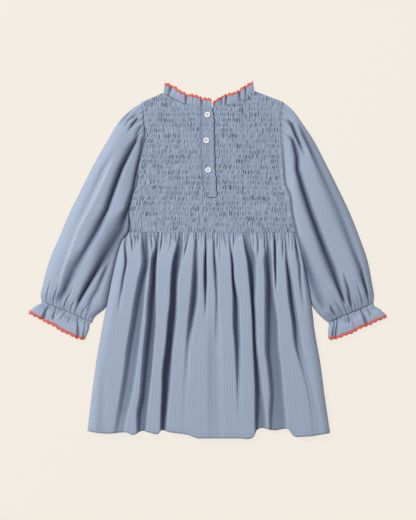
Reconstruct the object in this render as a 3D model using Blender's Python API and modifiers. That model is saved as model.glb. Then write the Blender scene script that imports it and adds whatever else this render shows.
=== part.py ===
"""Child's smocked dress, laid flat with its buttoned back uppermost.

Elastic-shirred bodice with a buttoned slit, gathered skirt, full sleeves with
gathered cuffs, and a pleated frill at the neck and at each cuff with a
scalloped edging. Sizes are in millimetres. +Z is up, the neck points to +Y,
and the dress rests on z = 0.
"""
import math

import bmesh
import bpy
from mathutils import Vector

MM = 0.001
COLLECTION = "smocked_dress"

# Cloth and seams
WALL = 1.2                  # cloth wall of the skirt, sleeves and frills
PLATE_WALL = 1.5            # under panels, pressed flat on each other
SEAM = 0.8                  # between the middle lines of two sewn edges
LAYER_GAP = 0.3             # between a panel and what lies on it
BACK_INSIDE = PLATE_WALL + LAYER_GAP
BACK_FACE = BACK_INSIDE + PLATE_WALL
LOW = PLATE_WALL + LAYER_GAP + 0.5 * WALL + 0.1     # lowest middle line of the skirt back

# Driving sizes of the body
WAIST_Y = 45.0
UNDERARM_Y = 124.0
SHOULDER_Y = 262.0
FRONT_HEM_Y = -279.0
FRONT_NECK_DROP = 22.0      # front neckline under the back one
FRONT_SIDE_POINTS = 16
FRONT_TOP_POINTS = 47

# y, left side, right side
BODY_SIDES = (
    (262, -108, 127),
    (239, -106, 125),
    (205, -104, 124),
    (182, -107, 126),
    (153, -114, 128),
    (124, -117, 131),
    (108, -123, 138),
    (77, -130, 142),
    (45, -132, 149),
    (32, -141, 152),
    (11, -148, 157),
    (-23, -156, 164),
    (-78, -167, 174),
    (-120, -175, 179),
    (-171, -184, 188),
    (-231, -192, 196),
    (-298, -200, 206),
)

# x, y along the shoulders and the back neckline
TOP_LINE = (
    (-108, 262),
    (-73, 277),
    (-55, 268),
    (-38, 259),
    (-12, 255),
    (6, 252),
    (27, 256),
    (47, 260),
    (62, 266),
    (79, 281),
    (127, 262),
)
NECK_LEFT_X = -73.0
NECK_RIGHT_X = 79.0

# x, y along the back hem, which draws up where a fold runs deep
HEM_LINE = (
    (-200, -285),
    (-166, -289),
    (-134, -287),
    (-123, -291),
    (-107, -285),
    (-82, -290),
    (-76, -284),
    (-60, -287),
    (-32, -291),
    (-13, -297),
    (55, -297),
    (78, -293),
    (82, -285),
    (114, -284),
    (134, -281),
    (142, -292),
    (160, -294),
    (206, -288),
)

# Shirring: one line of points for each row of elastic
ELASTIC_ROWS = 24
HALF_COLUMNS = 30           # on each side of the slit
PUCKER = 1.7                # height of a pucker over the elastic
PLAIN_MARGIN = 8.0          # unshirred beside the placket

# y, x down the back slit and on to the waist
SLIT_LINE = (
    (262, 7),
    (236, 10),
    (199, 11),
    (158, 12),
    (104, 15),
    (45, 15),
)
SLIT_END_Y = 104.0
SLIT_WIDTH = 0.6
SLIT_SPREAD = 3.4           # width of the same column where the slit has ended
SLIT_FADE = 16.0

# y, left edge of the placket band
BAND_LEFT = (
    (262, -7),
    (236, -7),
    (199, -8),
    (149, -6),
    (104, -2),
)
BAND_WALL = 1.2
BAND_LAP = 1.2              # past the slit
BAND_ROWS = 10

# x, y of each button on the placket
BUTTONS = (
    (1, 241),
    (-1, 198),
    (2, 149),
)
BUTTON_RADIUS = 4.6
BUTTON_THICK = 2.2
BUTTON_DISH = 0.6
BUTTON_SIDES = 16
HOLE_RADIUS = 0.7
HOLE_OFFSET = 1.15
HOLE_SIDES = 6

# Skirt folds: x at each station, half width, share of the lift that is lost there
FOLD_STATIONS = (40, -30, -120, -290)
SKIRT_FOLDS = (
    ("side_short", (-134, -141, -150, -160), 3.0, (0.6, 0.1, 0.0, 0.0)),
    ("side", (-126, -136, -146, -160), 3.0, (0.7, 0.5, 0.0, 0.0)),
    ("a", (-105, -106, -118, -143), 5.5, (0.6, 0.5, 0.6, 0.45)),
    ("b", (-78, -88, -93, -106), 6.5, (0.9, 1.0, 1.0, 0.8)),
    ("c", (-42, -54, -61, -71), 5.0, (0.8, 1.0, 1.0, 0.8)),
    ("d", (-17, -19, -27, -34), 5.0, (0.5, 0.5, 0.45, 0.15)),
    ("d_short", (-1, -2, -4, -6), 3.0, (0.6, 0.5, 0.0, 0.0)),
    ("e_short", (12, 16, 20, 22), 4.0, (0.5, 0.4, 0.1, 0.0)),
    ("e", (37, 45, 51, 54), 3.5, (0.6, 0.7, 0.5, 0.0)),
    ("f", (69, 76, 78, 86), 4.5, (0.6, 0.9, 1.0, 0.7)),
    ("g", (95, 105, 111, 122), 6.5, (0.8, 1.0, 1.0, 0.6)),
    ("g_short", (113, 115, 118, 121), 3.0, (0.8, 0.3, 0.0, 0.0)),
    ("h", (125, 137, 150, 187), 5.0, (0.7, 0.9, 0.9, 0.35)),
    ("side_right", (146, 159, 170, 196), 4.0, (0.5, 0.4, 0.1, 0.0)),
)
# fold that ends each run of columns, columns in the run
SKIRT_RUNS = (
    ("a", 13),
    ("b", 9),
    ("c", 9),
    ("d", 9),
    ("e", 19),
    ("f", 8),
    ("g", 9),
    ("h", 13),
    ("", 7),
)
SKIRT_ROWS = (0.0, 0.022, 0.05, 0.095, 0.155, 0.25, 0.4, 0.6, 0.82, 1.0)
# y, lift of the ridges over the under panel
SKIRT_LIFT = (
    (45, 2.4),
    (30, 5.0),
    (5, 9.5),
    (-40, 12.5),
    (-120, 13.0),
    (-220, 11.5),
    (-298, 9.5),
)
SIDE_ROUND = 16.0           # plan width of the rounded side of the skirt
GATHER = 1.1                # height of a gather at the waist
GATHER_REACH = 42.0

# Sleeves: x, y down the outer edge from the shoulder to the cuff
SLEEVE_OUTER = {
    "left": (
        (-109, 262),
        (-127, 249),
        (-147, 229),
        (-165, 199),
        (-188, 159),
        (-208, 119),
        (-228, 79),
        (-245, 39),
        (-262, -1),
        (-273, -41),
        (-277, -61),
        (-275, -69),
    ),
    "right": (
        (128, 262),
        (142, 249),
        (157, 229),
        (177, 199),
        (198, 159),
        (218, 119),
        (237, 79),
        (253, 39),
        (267, -1),
        (275, -41),
        (278, -61),
        (277, -73),
    ),
}
# the last points of the inner edge, past the side of the skirt
SLEEVE_INNER_END = {
    "left": ((-169, -80), (-188, -97), (-191, -104)),
    "right": ((176, -78), (193, -98), (201, -104)),
}
SLEEVE_CLEAR = 2.4          # sleeve's middle line to the side of the body
ARMHOLE_CLEAR = 1.5         # sleeve's head to the armhole, clear of both chords
SIDE_STEP = 8.0             # between points of the inner edge beside the body
INNER_EDGE_LEAVES_Y = -72.0
SLEEVE_TOP_COLUMNS = 16
SLEEVE_UNDER_COLUMNS = 8
SLEEVE_ROWS = 14
SLEEVE_UNDER = 0.5 * WALL   # middle line of the cloth on the floor
# share of the length, lift of the top over the under side
SLEEVE_LIFT = (
    (0.0, 2.8),
    (0.08, 6.5),
    (0.22, 11.0),
    (0.5, 13.5),
    (0.8, 13.0),
    (0.93, 9.5),
    (1.0, 4.5),
)
# Sleeve folds: points down the fold, half width, share of the lift lost at start, middle, end
SLEEVE_FOLDS = {
    "left": (
        (((-120, 206), (-140, 158), (-165, 84), (-207, 6), (-240, -52)), 8.0, (0.3, 0.45, 0.6)),
        (((-122, 140), (-128, 106), (-137, 50), (-165, 6), (-193, -29), (-220, -88)), 8.0,
         (0.6, 0.8, 0.8)),
        (((-158, -20), (-175, -55), (-186, -88)), 7.0, (0.3, 0.45, 0.4)),
    ),
    "right": (
        (((136, 230), (147, 186), (166, 106), (191, 28), (218, -44), (232, -74)), 8.0,
         (0.6, 0.75, 0.8)),
        (((240, 10), (255, -30), (264, -62)), 7.0, (0.0, 0.5, 0.7)),
        (((170, 20), (180, -30), (200, -85)), 8.0, (0.5, 0.4, 0.3)),
    ),
}
CAP_GATHER = 1.0
CUFF_GATHER = 1.0
GATHER_SHARE = 0.14         # share of the sleeve's length that the gathers reach

# Cuffs: x, y at the gathered end and at the frill's edge, outer side then inner side
CUFFS = {
    "left": (((-275, -69), (-191, -104)), ((-293.5, -84), (-202.5, -130.5))),
    "right": (((277, -73), (201, -104)), ((296, -90.5), (202.5, -130))),
}
CUFF_TOP_COLUMNS = 32
CUFF_UNDER_COLUMNS = 6
CUFF_ROWS = 3
CUFF_WAVES = 8
CUFF_LIFT = 1.9             # top over under side at the gathers
CUFF_WAVE = 3.0             # height of the frill's waves at its edge
CUFF_BOW = 3.0              # the edge is rounded outwards

# Neck frill: base x, base y, top x, top y, from the slit round and back to the slit
FRILL_LEFT = (
    (3.5, 254.0, 1.5, 265.5),
    (-10, 256.2, -9, 266.5),
    (-23, 258.0, -22, 270),
    (-38, 260.5, -36, 273),
    (-53, 268.5, -49, 279),
    (-63, 274.0, -58, 287),
    (-72, 279.5, -71, 289.5),
)
FRILL_RIGHT = (
    (78, 283, 76, 292),
    (63, 270, 62, 285),
    (47, 262.5, 46, 274.5),
    (27, 258.0, 28, 270.5),
    (18, 256.0, 16, 262.5),
    (11, 254.5, 11, 259.5),
)
FRILL_UNDER_X = tuple(range(-64, 72, 5))
FRILL_UNDER_HEIGHT = 13.0
FRILL_UNDER_GAP = 2.6       # chords of the two outlines stay clear of each other
FRILL_UNDER_DRAW = 0.93     # the top line is drawn in to this share of the base
FRILL_UPPER_Z = 3.4         # middle line of the frill where it lies on top
FRILL_UNDER_Z = 0.5 * WALL
FRILL_WAVE = 2.4
FRILL_PITCH = 11.5          # one pleat along the base
FRILL_COLUMNS_PER_PLEAT = 4
FRILL_UNDER_COLUMNS = 27
FRILL_ROWS = 2
FOLD_COLUMNS = 4            # round the turned side of the frill

# Scalloped edging
TRIM_GAP = 0.7
TRIM_BASE = 2.0
TRIM_SCALLOP = 2.0
TRIM_PITCH_NECK = 12.0
TRIM_PITCH_CUFF = 10.0
TRIM_COLUMNS_PER_SCALLOP = 4

# name: base colour, roughness
FINISHES = {
    "chambray": ((0.30, 0.38, 0.50, 1.0), 0.85),
    "coral": ((0.80, 0.16, 0.12, 1.0), 0.75),
    "button_white": ((0.90, 0.90, 0.88, 1.0), 0.35),
}


# Reading tables and curves

def read(rows, key, column=1):
    """Value of a table's column at a key in its first column, joined smoothly."""
    rows = sorted(rows)
    key = min(max(key, rows[0][0]), rows[-1][0])
    last = len(rows) - 2
    i = next((n for n in range(last + 1) if key <= rows[n + 1][0]), last)
    k0, k1 = rows[i][0], rows[i + 1][0]
    p0, p1 = rows[i][column], rows[i + 1][column]
    step = k1 - k0
    chord = (p1 - p0) / step
    slope0, slope1 = chord, chord
    if i > 0:
        before = (p0 - rows[i - 1][column]) / (k0 - rows[i - 1][0])
        slope0 = 0.5 * (before + chord) if before * chord > 0 else 0.0
    if i < last:
        after = (rows[i + 2][column] - p1) / (rows[i + 2][0] - k1)
        slope1 = 0.5 * (after + chord) if after * chord > 0 else 0.0
    t = (key - k0) / step
    a = p0 * (2 * t**3 - 3 * t**2 + 1) + p1 * (3 * t**2 - 2 * t**3)
    return a + step * (slope0 * (t**3 - 2 * t**2 + t) + slope1 * (t**3 - t**2))


def read_straight(rows, key, column=1):
    """Value of a table's column at a key in its first column, joined by straight lines."""
    rows = sorted(rows)
    key = min(max(key, rows[0][0]), rows[-1][0])
    for low, high in zip(rows, rows[1:]):
        if key <= high[0]:
            share = (key - low[0]) / (high[0] - low[0])
            return low[column] + share * (high[column] - low[column])
    return rows[-1][column]


def mix(a, b, share):
    """Point between two points of the same length."""
    return tuple(p + (q - p) * share for p, q in zip(a, b))


def along(points, share):
    """Point at a share of the length of a polyline in plan."""
    lengths = [math.dist(p[:2], q[:2]) for p, q in zip(points, points[1:])]
    left = share * sum(lengths)
    for (p, q), length in zip(zip(points, points[1:]), lengths):
        if left <= length:
            return mix(p, q, left / length)
        left -= length
    return points[-1]


def run_length(points):
    """Length of a polyline in plan."""
    return sum(math.dist(p[:2], q[:2]) for p, q in zip(points, points[1:]))


def nearest(points, x, y):
    """Distance from a polyline, and the share of its length at the nearest point."""
    best, share, done = 1e9, 0.0, 0.0
    for p, q in zip(points, points[1:]):
        dx, dy = q[0] - p[0], q[1] - p[1]
        length = math.hypot(dx, dy)
        t = min(max(((x - p[0]) * dx + (y - p[1]) * dy) / length**2, 0.0), 1.0)
        distance = math.hypot(x - p[0] - t * dx, y - p[1] - t * dy)
        if distance < best:
            best, share = distance, done + t * length
        done += length
    return best, share / done


def bell(distance, half_width):
    """Soft trough of a given half width, 1 at its middle."""
    return math.exp(-((distance / half_width) ** 2))


def ease(value):
    """Smooth step from 0 to 1."""
    value = min(max(value, 0.0), 1.0)
    return value * value * (3 - 2 * value)


def zigzag(index):
    """Alternate +1 and -1 along a row of points."""
    return 1.0 if index % 2 == 0 else -1.0


# Scene and meshes

def clear_scene():
    for obj in list(bpy.data.objects):
        bpy.data.objects.remove(obj, do_unlink=True)


def new_collection(name):
    collection = bpy.data.collections.new(name)
    bpy.context.scene.collection.children.link(collection)
    return collection


def make_material(name, finish):
    colour, roughness = FINISHES[finish]
    material = bpy.data.materials.new(name)
    material.use_nodes = True
    shader = material.node_tree.nodes["Principled BSDF"]
    shader.inputs["Base Color"].default_value = colour
    shader.inputs["Roughness"].default_value = roughness
    shader.inputs["Metallic"].default_value = 0.0
    return material


def add_object(collection, name, bm, finish):
    """Turn a bmesh into a named object with its own material."""
    bmesh.ops.recalc_face_normals(bm, faces=bm.faces)
    mesh = bpy.data.meshes.new(name)
    bm.to_mesh(mesh)
    bm.free()
    mesh.materials.append(make_material(name, finish))
    mesh.shade_smooth()
    obj = bpy.data.objects.new(name, mesh)
    collection.objects.link(obj)
    return obj


def surface(columns, rows, place):
    """Grid of cloth with each point put where place(u, v) says."""
    bm = bmesh.new()
    bmesh.ops.create_grid(bm, x_segments=columns, y_segments=rows, size=0.5)
    for vert in bm.verts:
        vert.co = Vector(place(vert.co.x + 0.5, vert.co.y + 0.5)) * MM
    return bm


def tube(columns, rows, place):
    """Grid of cloth whose first and last columns are sewn together."""
    bm = surface(columns, rows, place)
    bmesh.ops.remove_doubles(bm, verts=bm.verts, dist=0.01 * MM)
    return bm


def give_wall(obj, thickness):
    """Give an open surface its cloth wall, half to each side."""
    wall = obj.modifiers.new("Wall", "SOLIDIFY")
    wall.thickness = thickness * MM
    wall.offset = 0.0
    wall.use_even_offset = False
    wall.use_quality_normals = True


def plain_inside(bm, inside_z):
    """Close a relief surface with straight sides and one flat face below it."""
    rim = [edge for edge in bm.edges if edge.is_boundary]
    made = bmesh.ops.extrude_edge_only(bm, edges=rim)["geom"]
    for item in made:
        if isinstance(item, bmesh.types.BMVert):
            item.co.z = inside_z * MM
    loop = [e for e in made if isinstance(e, bmesh.types.BMEdge) and e.is_boundary]
    bmesh.ops.contextual_create(bm, geom=loop)


def thicken_plate(bm, bottom_z, top_z):
    """Make a flat plate of a grid, with the same points above and below."""
    made = bmesh.ops.extrude_face_region(bm, geom=list(bm.faces))["geom"]
    upper = {item for item in made if isinstance(item, bmesh.types.BMVert)}
    for vert in bm.verts:
        vert.co.z = (top_z if vert in upper else bottom_z) * MM


# Bodice

def sides(y):
    """Left and right side of the body at a height."""
    return read(BODY_SIDES, y, 1), read(BODY_SIDES, y, 2)


def back_top(x):
    return read_straight(TOP_LINE, x)


def front_top(x):
    """The front's top line, cut lower than the back's between the shoulders."""
    middle = 0.5 * (NECK_LEFT_X + NECK_RIGHT_X)
    half = 0.5 * (NECK_RIGHT_X - NECK_LEFT_X)
    offset = min(abs(x - middle) / half, 1.0)
    return back_top(x) - FRONT_NECK_DROP * (1 - offset**3)


def slit_half_width(y):
    """Half the slit's width, spreading into an ordinary column under its end."""
    spread = ease((SLIT_END_Y - y) / SLIT_FADE)
    return 0.5 * (SLIT_WIDTH + spread * (SLIT_SPREAD - SLIT_WIDTH))


def bodice_point(u, v, top_of, middle_gap):
    """Plan point of the bodice: u across, v from the waist up."""
    left_top, right_top = sides(SHOULDER_Y)
    top = top_of(left_top + u * (right_top - left_top))
    y = WAIST_Y + 0.5 * SEAM + v * (top - WAIST_Y - 0.5 * SEAM)
    left, right = sides(y)
    if not middle_gap:
        return left + u * (right - left), y
    slit = read(SLIT_LINE, y)
    gap = slit_half_width(y)
    middle = HALF_COLUMNS / (2 * HALF_COLUMNS + 1)
    if u <= middle + 1e-6:
        return left + u / middle * (slit - gap - left), y
    share = (u - 1 + middle) / middle
    return slit + gap + share * (right - slit - gap), y


def in_placket(x, y):
    """True where the panel stays plain, under and beside the placket."""
    if y < SLIT_END_Y - PLAIN_MARGIN:
        return False
    return read(BAND_LEFT, y) - PLAIN_MARGIN < x < read(SLIT_LINE, y) + BAND_LAP + PLAIN_MARGIN


def make_bodice_back(collection):
    """Shirred panel: puckers staggered from one row of elastic to the next."""
    columns = 2 * HALF_COLUMNS + 1

    def place(u, v):
        x, y = bodice_point(u, v, back_top, True)
        column, row = round(u * columns), round(v * ELASTIC_ROWS)
        on_rim = column in (0, columns) or row in (0, ELASTIC_ROWS)
        puffed = (column + row) % 2 == 0 and not on_rim and not in_placket(x, y)
        return x, y, BACK_FACE + (PUCKER if puffed else 0.0)

    bm = surface(columns, ELASTIC_ROWS, place)
    open_faces = [face for face in bm.faces if in_slit(face)]
    bmesh.ops.delete(bm, geom=open_faces, context="FACES")
    plain_inside(bm, BACK_INSIDE)
    return add_object(collection, "bodice_back", bm, "chambray")


def in_slit(face):
    """True for a face of the middle column above the slit's end."""
    middle = face.calc_center_median() / MM
    close = abs(middle.x - read(SLIT_LINE, middle.y)) < 0.4 * SLIT_WIDTH
    return close and middle.y > SLIT_END_Y


def make_bodice_front(collection):
    """Under panel, pressed flat on the floor."""
    side = [row / FRONT_SIDE_POINTS for row in range(FRONT_SIDE_POINTS)]
    top = [column / FRONT_TOP_POINTS for column in range(FRONT_TOP_POINTS)]
    outline = [bodice_point(1.0, v, front_top, False) for v in side]
    outline += [bodice_point(1 - u, 1.0, front_top, False) for u in top]
    outline += [bodice_point(0.0, 1 - v, front_top, False) for v in side]
    outline.append(bodice_point(0.0, 0.0, front_top, False))
    bm = bmesh.new()
    bm.faces.new([bm.verts.new(Vector((x, y, 0.0)) * MM) for x, y in outline])
    thicken_plate(bm, 0.0, PLATE_WALL)
    return add_object(collection, "bodice_front", bm, "chambray")


def make_placket(collection):
    """Band that laps the slit, made from the panel's own lines and moved out."""

    def place(u, v):
        y = SLIT_END_Y + v * (back_top(0.0) - 1.0 - SLIT_END_Y)
        left = read(BAND_LEFT, y)
        right = read(SLIT_LINE, y) + BAND_LAP
        return left + u * (right - left), y, 0.0

    bm = surface(2, BAND_ROWS, place)
    bottom = BACK_FACE + LAYER_GAP
    thicken_plate(bm, bottom, bottom + BAND_WALL)
    return add_object(collection, "placket_band", bm, "chambray")


def make_hole_cutter(cutters, x, y, bottom):
    """Four thread holes as one cutter."""
    bm = bmesh.new()
    for side_x in (-1, 1):
        for side_y in (-1, 1):
            made = bmesh.ops.create_cone(
                bm, cap_ends=True, segments=HOLE_SIDES, radius1=HOLE_RADIUS * MM,
                radius2=HOLE_RADIUS * MM, depth=3 * BUTTON_THICK * MM)
            offset = Vector((side_x * HOLE_OFFSET, side_y * HOLE_OFFSET, 0.0)) * MM
            bmesh.ops.translate(bm, verts=made["verts"], vec=offset)
    cutter = add_object(cutters, "thread_holes", bm, "button_white")
    cutter.location = Vector((x, y, bottom + 0.5 * BUTTON_THICK)) * MM
    cutter.hide_render = True
    cutter.display_type = "WIRE"
    return cutter


def make_button(collection, cutters, name, x, y):
    """Dished four-hole button, turned about its own axis."""
    bottom = BACK_FACE + LAYER_GAP + BAND_WALL + LAYER_GAP
    profile = (
        (0.0, BUTTON_THICK - BUTTON_DISH),
        (0.58 * BUTTON_RADIUS, BUTTON_THICK - BUTTON_DISH),
        (0.74 * BUTTON_RADIUS, BUTTON_THICK),
        (0.9 * BUTTON_RADIUS, 0.95 * BUTTON_THICK),
        (BUTTON_RADIUS, 0.6 * BUTTON_THICK),
        (0.86 * BUTTON_RADIUS, 0.0),
        (0.0, 0.0),
    )
    mesh = bpy.data.meshes.new(name)
    points = [(radius * MM, 0.0, height * MM) for radius, height in profile]
    mesh.from_pydata(points, [(i, i + 1) for i in range(len(points) - 1)], [])
    mesh.materials.append(make_material(name, "button_white"))
    obj = bpy.data.objects.new(name, mesh)
    obj.location = Vector((x, y, bottom)) * MM
    collection.objects.link(obj)
    turned = obj.modifiers.new("Turned", "SCREW")
    turned.steps = BUTTON_SIDES
    turned.render_steps = BUTTON_SIDES
    turned.use_merge_vertices = True
    turned.merge_threshold = 0.00002
    turned.use_smooth_shade = True
    holes = obj.modifiers.new("Holes", "BOOLEAN")
    holes.operation = "DIFFERENCE"
    holes.solver = "EXACT"
    holes.object = make_hole_cutter(cutters, x, y, bottom)
    return obj


# Skirt

def fold_x(fold, y):
    return read(tuple(zip(FOLD_STATIONS, fold[1])), y)


def fold_depth(fold, y):
    return read(tuple(zip(FOLD_STATIONS, fold[3])), y)


def skirt_height(x, y):
    """Middle line of the skirt's cloth over the floor."""
    left, right = sides(y)
    inward = max(min(x - left, right - x), 0.0)
    rise = 1 - (1 - min(inward / SIDE_ROUND, 1.0)) ** 2
    kept = 1.0
    for fold in SKIRT_FOLDS:
        kept *= 1 - fold_depth(fold, y) * bell(x - fold_x(fold, y), fold[2])
    return LOW + read(SKIRT_LIFT, y) * rise * kept


def skirt_column_x(column, y):
    """Place of a column, which follows the folds so that each is met at its middle."""
    left, right = sides(y)
    start, first = left, 0
    folds = {fold[0]: fold for fold in SKIRT_FOLDS}
    for name, count in SKIRT_RUNS:
        end = fold_x(folds[name], y) if name else right
        if column <= first + count:
            return start + (end - start) * (column - first) / count
        start, first = end, first + count
    return right


def make_skirt_back(collection):
    columns = sum(count for _, count in SKIRT_RUNS)

    def place(u, v):
        column = round(u * columns)
        share = SKIRT_ROWS[round(v * (len(SKIRT_ROWS) - 1))]
        top = WAIST_Y - 0.5 * SEAM
        hem = read_straight(HEM_LINE, skirt_column_x(column, HEM_LINE[0][1]))
        y = top + share * (hem - top)
        x = skirt_column_x(column, y)
        fade = 1 - ease((WAIST_Y - y) / GATHER_REACH)
        at_side = column in (0, columns)
        gather = 0.0 if at_side else GATHER * fade * (zigzag(column) + 1)
        return x, y, skirt_height(x, y) + gather

    bm = surface(columns, len(SKIRT_ROWS) - 1, place)
    obj = add_object(collection, "skirt_back", bm, "chambray")
    give_wall(obj, WALL)
    return obj


def make_skirt_front(collection):
    """Under panel, pressed flat on the floor."""

    def place(u, v):
        y = FRONT_HEM_Y + v * (WAIST_Y - 0.5 * SEAM - FRONT_HEM_Y)
        left, right = sides(y)
        return left + u * (right - left), y, 0.0

    bm = surface(8, 12, place)
    thicken_plate(bm, 0.0, PLATE_WALL)
    return add_object(collection, "skirt_front", bm, "chambray")


# Sleeves

def side_sign(side):
    return -1.0 if side == "left" else 1.0


def body_edge(side, y):
    """Middle line of the sleeve's cloth where it runs beside the body."""
    edge = sides(y)[0] if side == "left" else sides(y)[1]
    return edge + side_sign(side) * SLEEVE_CLEAR


def armhole_point(side, share):
    y = SHOULDER_Y + share * (UNDERARM_Y - SHOULDER_Y)
    edge = sides(y)[0] if side == "left" else sides(y)[1]
    return edge + side_sign(side) * ARMHOLE_CLEAR, y


def inner_edge(side):
    """Inner edge from the underarm down beside the body to the cuff."""
    points = [armhole_point(side, 1.0)]
    y = UNDERARM_Y - SIDE_STEP
    while y > INNER_EDGE_LEAVES_Y:
        points.append((body_edge(side, y), y))
        y -= SIDE_STEP
    return tuple(points) + SLEEVE_INNER_END[side]


def sleeve_plan(side, s, t):
    """Plan point: s from the outer to the inner edge, t from the armhole to the cuff."""
    outer, inner = SLEEVE_OUTER[side], inner_edge(side)
    cuff = CUFFS[side][0]
    corner = (armhole_point(side, 0.0), armhole_point(side, 1.0), outer[-1], inner[-1])
    across = mix(along(outer, t), along(inner, t), s)
    down = mix(armhole_point(side, s), mix(cuff[0], cuff[1], s), t)
    top, bottom = mix(corner[0], corner[1], s), mix(corner[2], corner[3], s)
    twist = mix(top, bottom, t)
    return tuple(a + d - c for a, d, c in zip(across, down, twist))


def sleeve_lift(side, s, t, x, y):
    """Lift of the sleeve's top over its under side."""
    rise = (1 - (1 - min(s / 0.22, 1.0)) ** 2) * (1 - (1 - min((1 - s) / 0.35, 1.0)) ** 2)
    kept = 1.0
    for points, half_width, depths in SLEEVE_FOLDS[side]:
        distance, share = nearest(points, x, y)
        depth = read(((0.0, depths[0]), (0.5, depths[1]), (1.0, depths[2])), share)
        kept *= 1 - depth * bell(distance, half_width)
    return read(SLEEVE_LIFT, t) * rise * kept


def ring_share(u, top_columns, under_columns):
    """Share across a flattened tube, whether the point is on top, and its column there."""
    column = round(u * (top_columns + under_columns))
    if column <= top_columns:
        return column / top_columns, True, column
    return 1 - (column - top_columns) / under_columns, False, column


def make_sleeve(collection, side):
    """Flattened tube with its folded edges at the outer and inner side."""
    top_columns, under_columns = SLEEVE_TOP_COLUMNS, SLEEVE_UNDER_COLUMNS

    def place(u, v):
        s, on_top, column = ring_share(u, top_columns, under_columns)
        x, y = sleeve_plan(side, s, v)
        at_edge = column % (top_columns + under_columns) in (0, top_columns)
        if at_edge:
            return x, y, SLEEVE_UNDER + 0.35 * read(SLEEVE_LIFT, v)
        if not on_top:
            return x, y, SLEEVE_UNDER
        lift = sleeve_lift(side, s, v, x, y)
        gather = CAP_GATHER * (1 - ease(v / GATHER_SHARE))
        gather += CUFF_GATHER * (1 - ease((1 - v) / GATHER_SHARE))
        floor = 1.5 * WALL + LAYER_GAP
        return x, y, SLEEVE_UNDER + max(lift, floor) + 0.5 * gather * (zigzag(column) + 1)

    bm = tube(top_columns + under_columns, SLEEVE_ROWS, place)
    obj = add_object(collection, f"sleeve_{side}", bm, "chambray")
    give_wall(obj, WALL)
    return obj


# Cuffs

def cuff_point(side, s, t, reach=0.0):
    """Plan point of a cuff, and reach past its edge."""
    base = mix(*CUFFS[side][0], s)
    edge = mix(*CUFFS[side][1], s)
    away = Vector((edge[0] - base[0], edge[1] - base[1])).normalized()
    bow = CUFF_BOW * 4 * s * (1 - s) * t
    gap = 0.5 * SEAM + WALL * 0.5
    share = mix(base, edge, t)
    shift = away * (bow + reach + gap * (1 - t))
    return share[0] + shift.x, share[1] + shift.y


def cuff_height(s, t, on_top, at_edge):
    """Middle line of a cuff's cloth: gathered at its base, waved at its edge."""
    if at_edge:
        return FRILL_UNDER_Z + 0.5 * CUFF_LIFT
    if not on_top:
        return FRILL_UNDER_Z
    wave = 0.5 - 0.5 * math.cos(2 * math.pi * CUFF_WAVES * s)
    fine = 0.5 - 0.5 * math.cos(4 * math.pi * CUFF_WAVES * s)
    height = CUFF_WAVE * ease(1.4 * t) * wave + 0.6 * CUFF_WAVE * (1 - t) * fine
    return FRILL_UNDER_Z + CUFF_LIFT + height


def make_cuff(collection, side):
    top_columns, under_columns = CUFF_TOP_COLUMNS, CUFF_UNDER_COLUMNS

    def place(u, v):
        s, on_top, column = ring_share(u, top_columns, under_columns)
        at_edge = column % (top_columns + under_columns) in (0, top_columns)
        return *cuff_point(side, s, v), cuff_height(s, v, on_top, at_edge)

    bm = tube(top_columns + under_columns, CUFF_ROWS, place)
    obj = add_object(collection, f"cuff_{side}", bm, "chambray")
    give_wall(obj, WALL)
    return obj


def scallop(distance, pitch):
    """Reach of the edging at a distance along it."""
    return TRIM_BASE + TRIM_SCALLOP * abs(math.sin(math.pi * distance / pitch))


def make_cuff_trim(collection, side):
    """Scalloped edging round the cuff, made from the frill's edge and moved out."""
    edge = CUFFS[side][1]
    scallops = round(math.dist(*edge) / TRIM_PITCH_CUFF)
    top_columns = scallops * TRIM_COLUMNS_PER_SCALLOP
    under_columns = top_columns // 2

    def place(u, v):
        s, on_top, column = ring_share(u, top_columns, under_columns)
        at_edge = column % (top_columns + under_columns) in (0, top_columns)
        reach = TRIM_GAP + v * scallop(s * scallops, 1.0)
        return *cuff_point(side, s, 1.0, reach), cuff_height(s, 1.0, on_top, at_edge)

    bm = tube(top_columns + under_columns, 1, place)
    obj = add_object(collection, f"cuff_trim_{side}", bm, "coral")
    give_wall(obj, WALL)
    return obj


# Neck frill

def under_rows():
    """Base and top points of the frill along the front neckline."""
    rows = []
    for x in FRILL_UNDER_X:
        base_y = front_top(x) + FRILL_UNDER_GAP
        rows.append((x, base_y, x * FRILL_UNDER_DRAW, base_y + FRILL_UNDER_HEIGHT))
    return tuple(rows)


def turned_stations(upper, under, toward):
    """Stations round the folded side, from the upper layer to the under layer."""
    middle_z = 0.5 * (FRILL_UPPER_Z + FRILL_UNDER_Z)
    radius = 0.5 * (FRILL_UPPER_Z - FRILL_UNDER_Z)
    made = []
    for step in range(1, FOLD_COLUMNS):
        angle = math.pi * step / FOLD_COLUMNS
        out = toward * radius * math.sin(angle)
        base_x, base_y, top_x, top_y = mix(upper, under, 0.12 * step / FOLD_COLUMNS)
        z = middle_z + radius * math.cos(angle)
        made.append(((base_x + out, base_y), (top_x + out, top_y), z, 0.0))
    return made


def upper_stations(rows, falling):
    """Pleated stations over the upper stretch of the frill."""
    pleats = max(round(run_length(rows) / FRILL_PITCH), 1)
    columns = pleats * FRILL_COLUMNS_PER_PLEAT
    made = []
    for column in range(columns + 1):
        base_x, base_y, top_x, top_y = along(rows, column / columns)
        phase = 2 * math.pi * column / FRILL_COLUMNS_PER_PLEAT
        last = column == (columns if falling else 0)
        wave = 0.0 if last else 0.5 - 0.5 * math.cos(phase)
        made.append(((base_x, base_y), (top_x, top_y), FRILL_UPPER_Z, wave))
    return made


def under_stations(rows):
    made = []
    for column in range(FRILL_UNDER_COLUMNS + 1):
        base_x, base_y, top_x, top_y = along(rows, column / FRILL_UNDER_COLUMNS)
        made.append(((base_x, base_y), (top_x, top_y), FRILL_UNDER_Z, 0.0))
    return made


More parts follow.
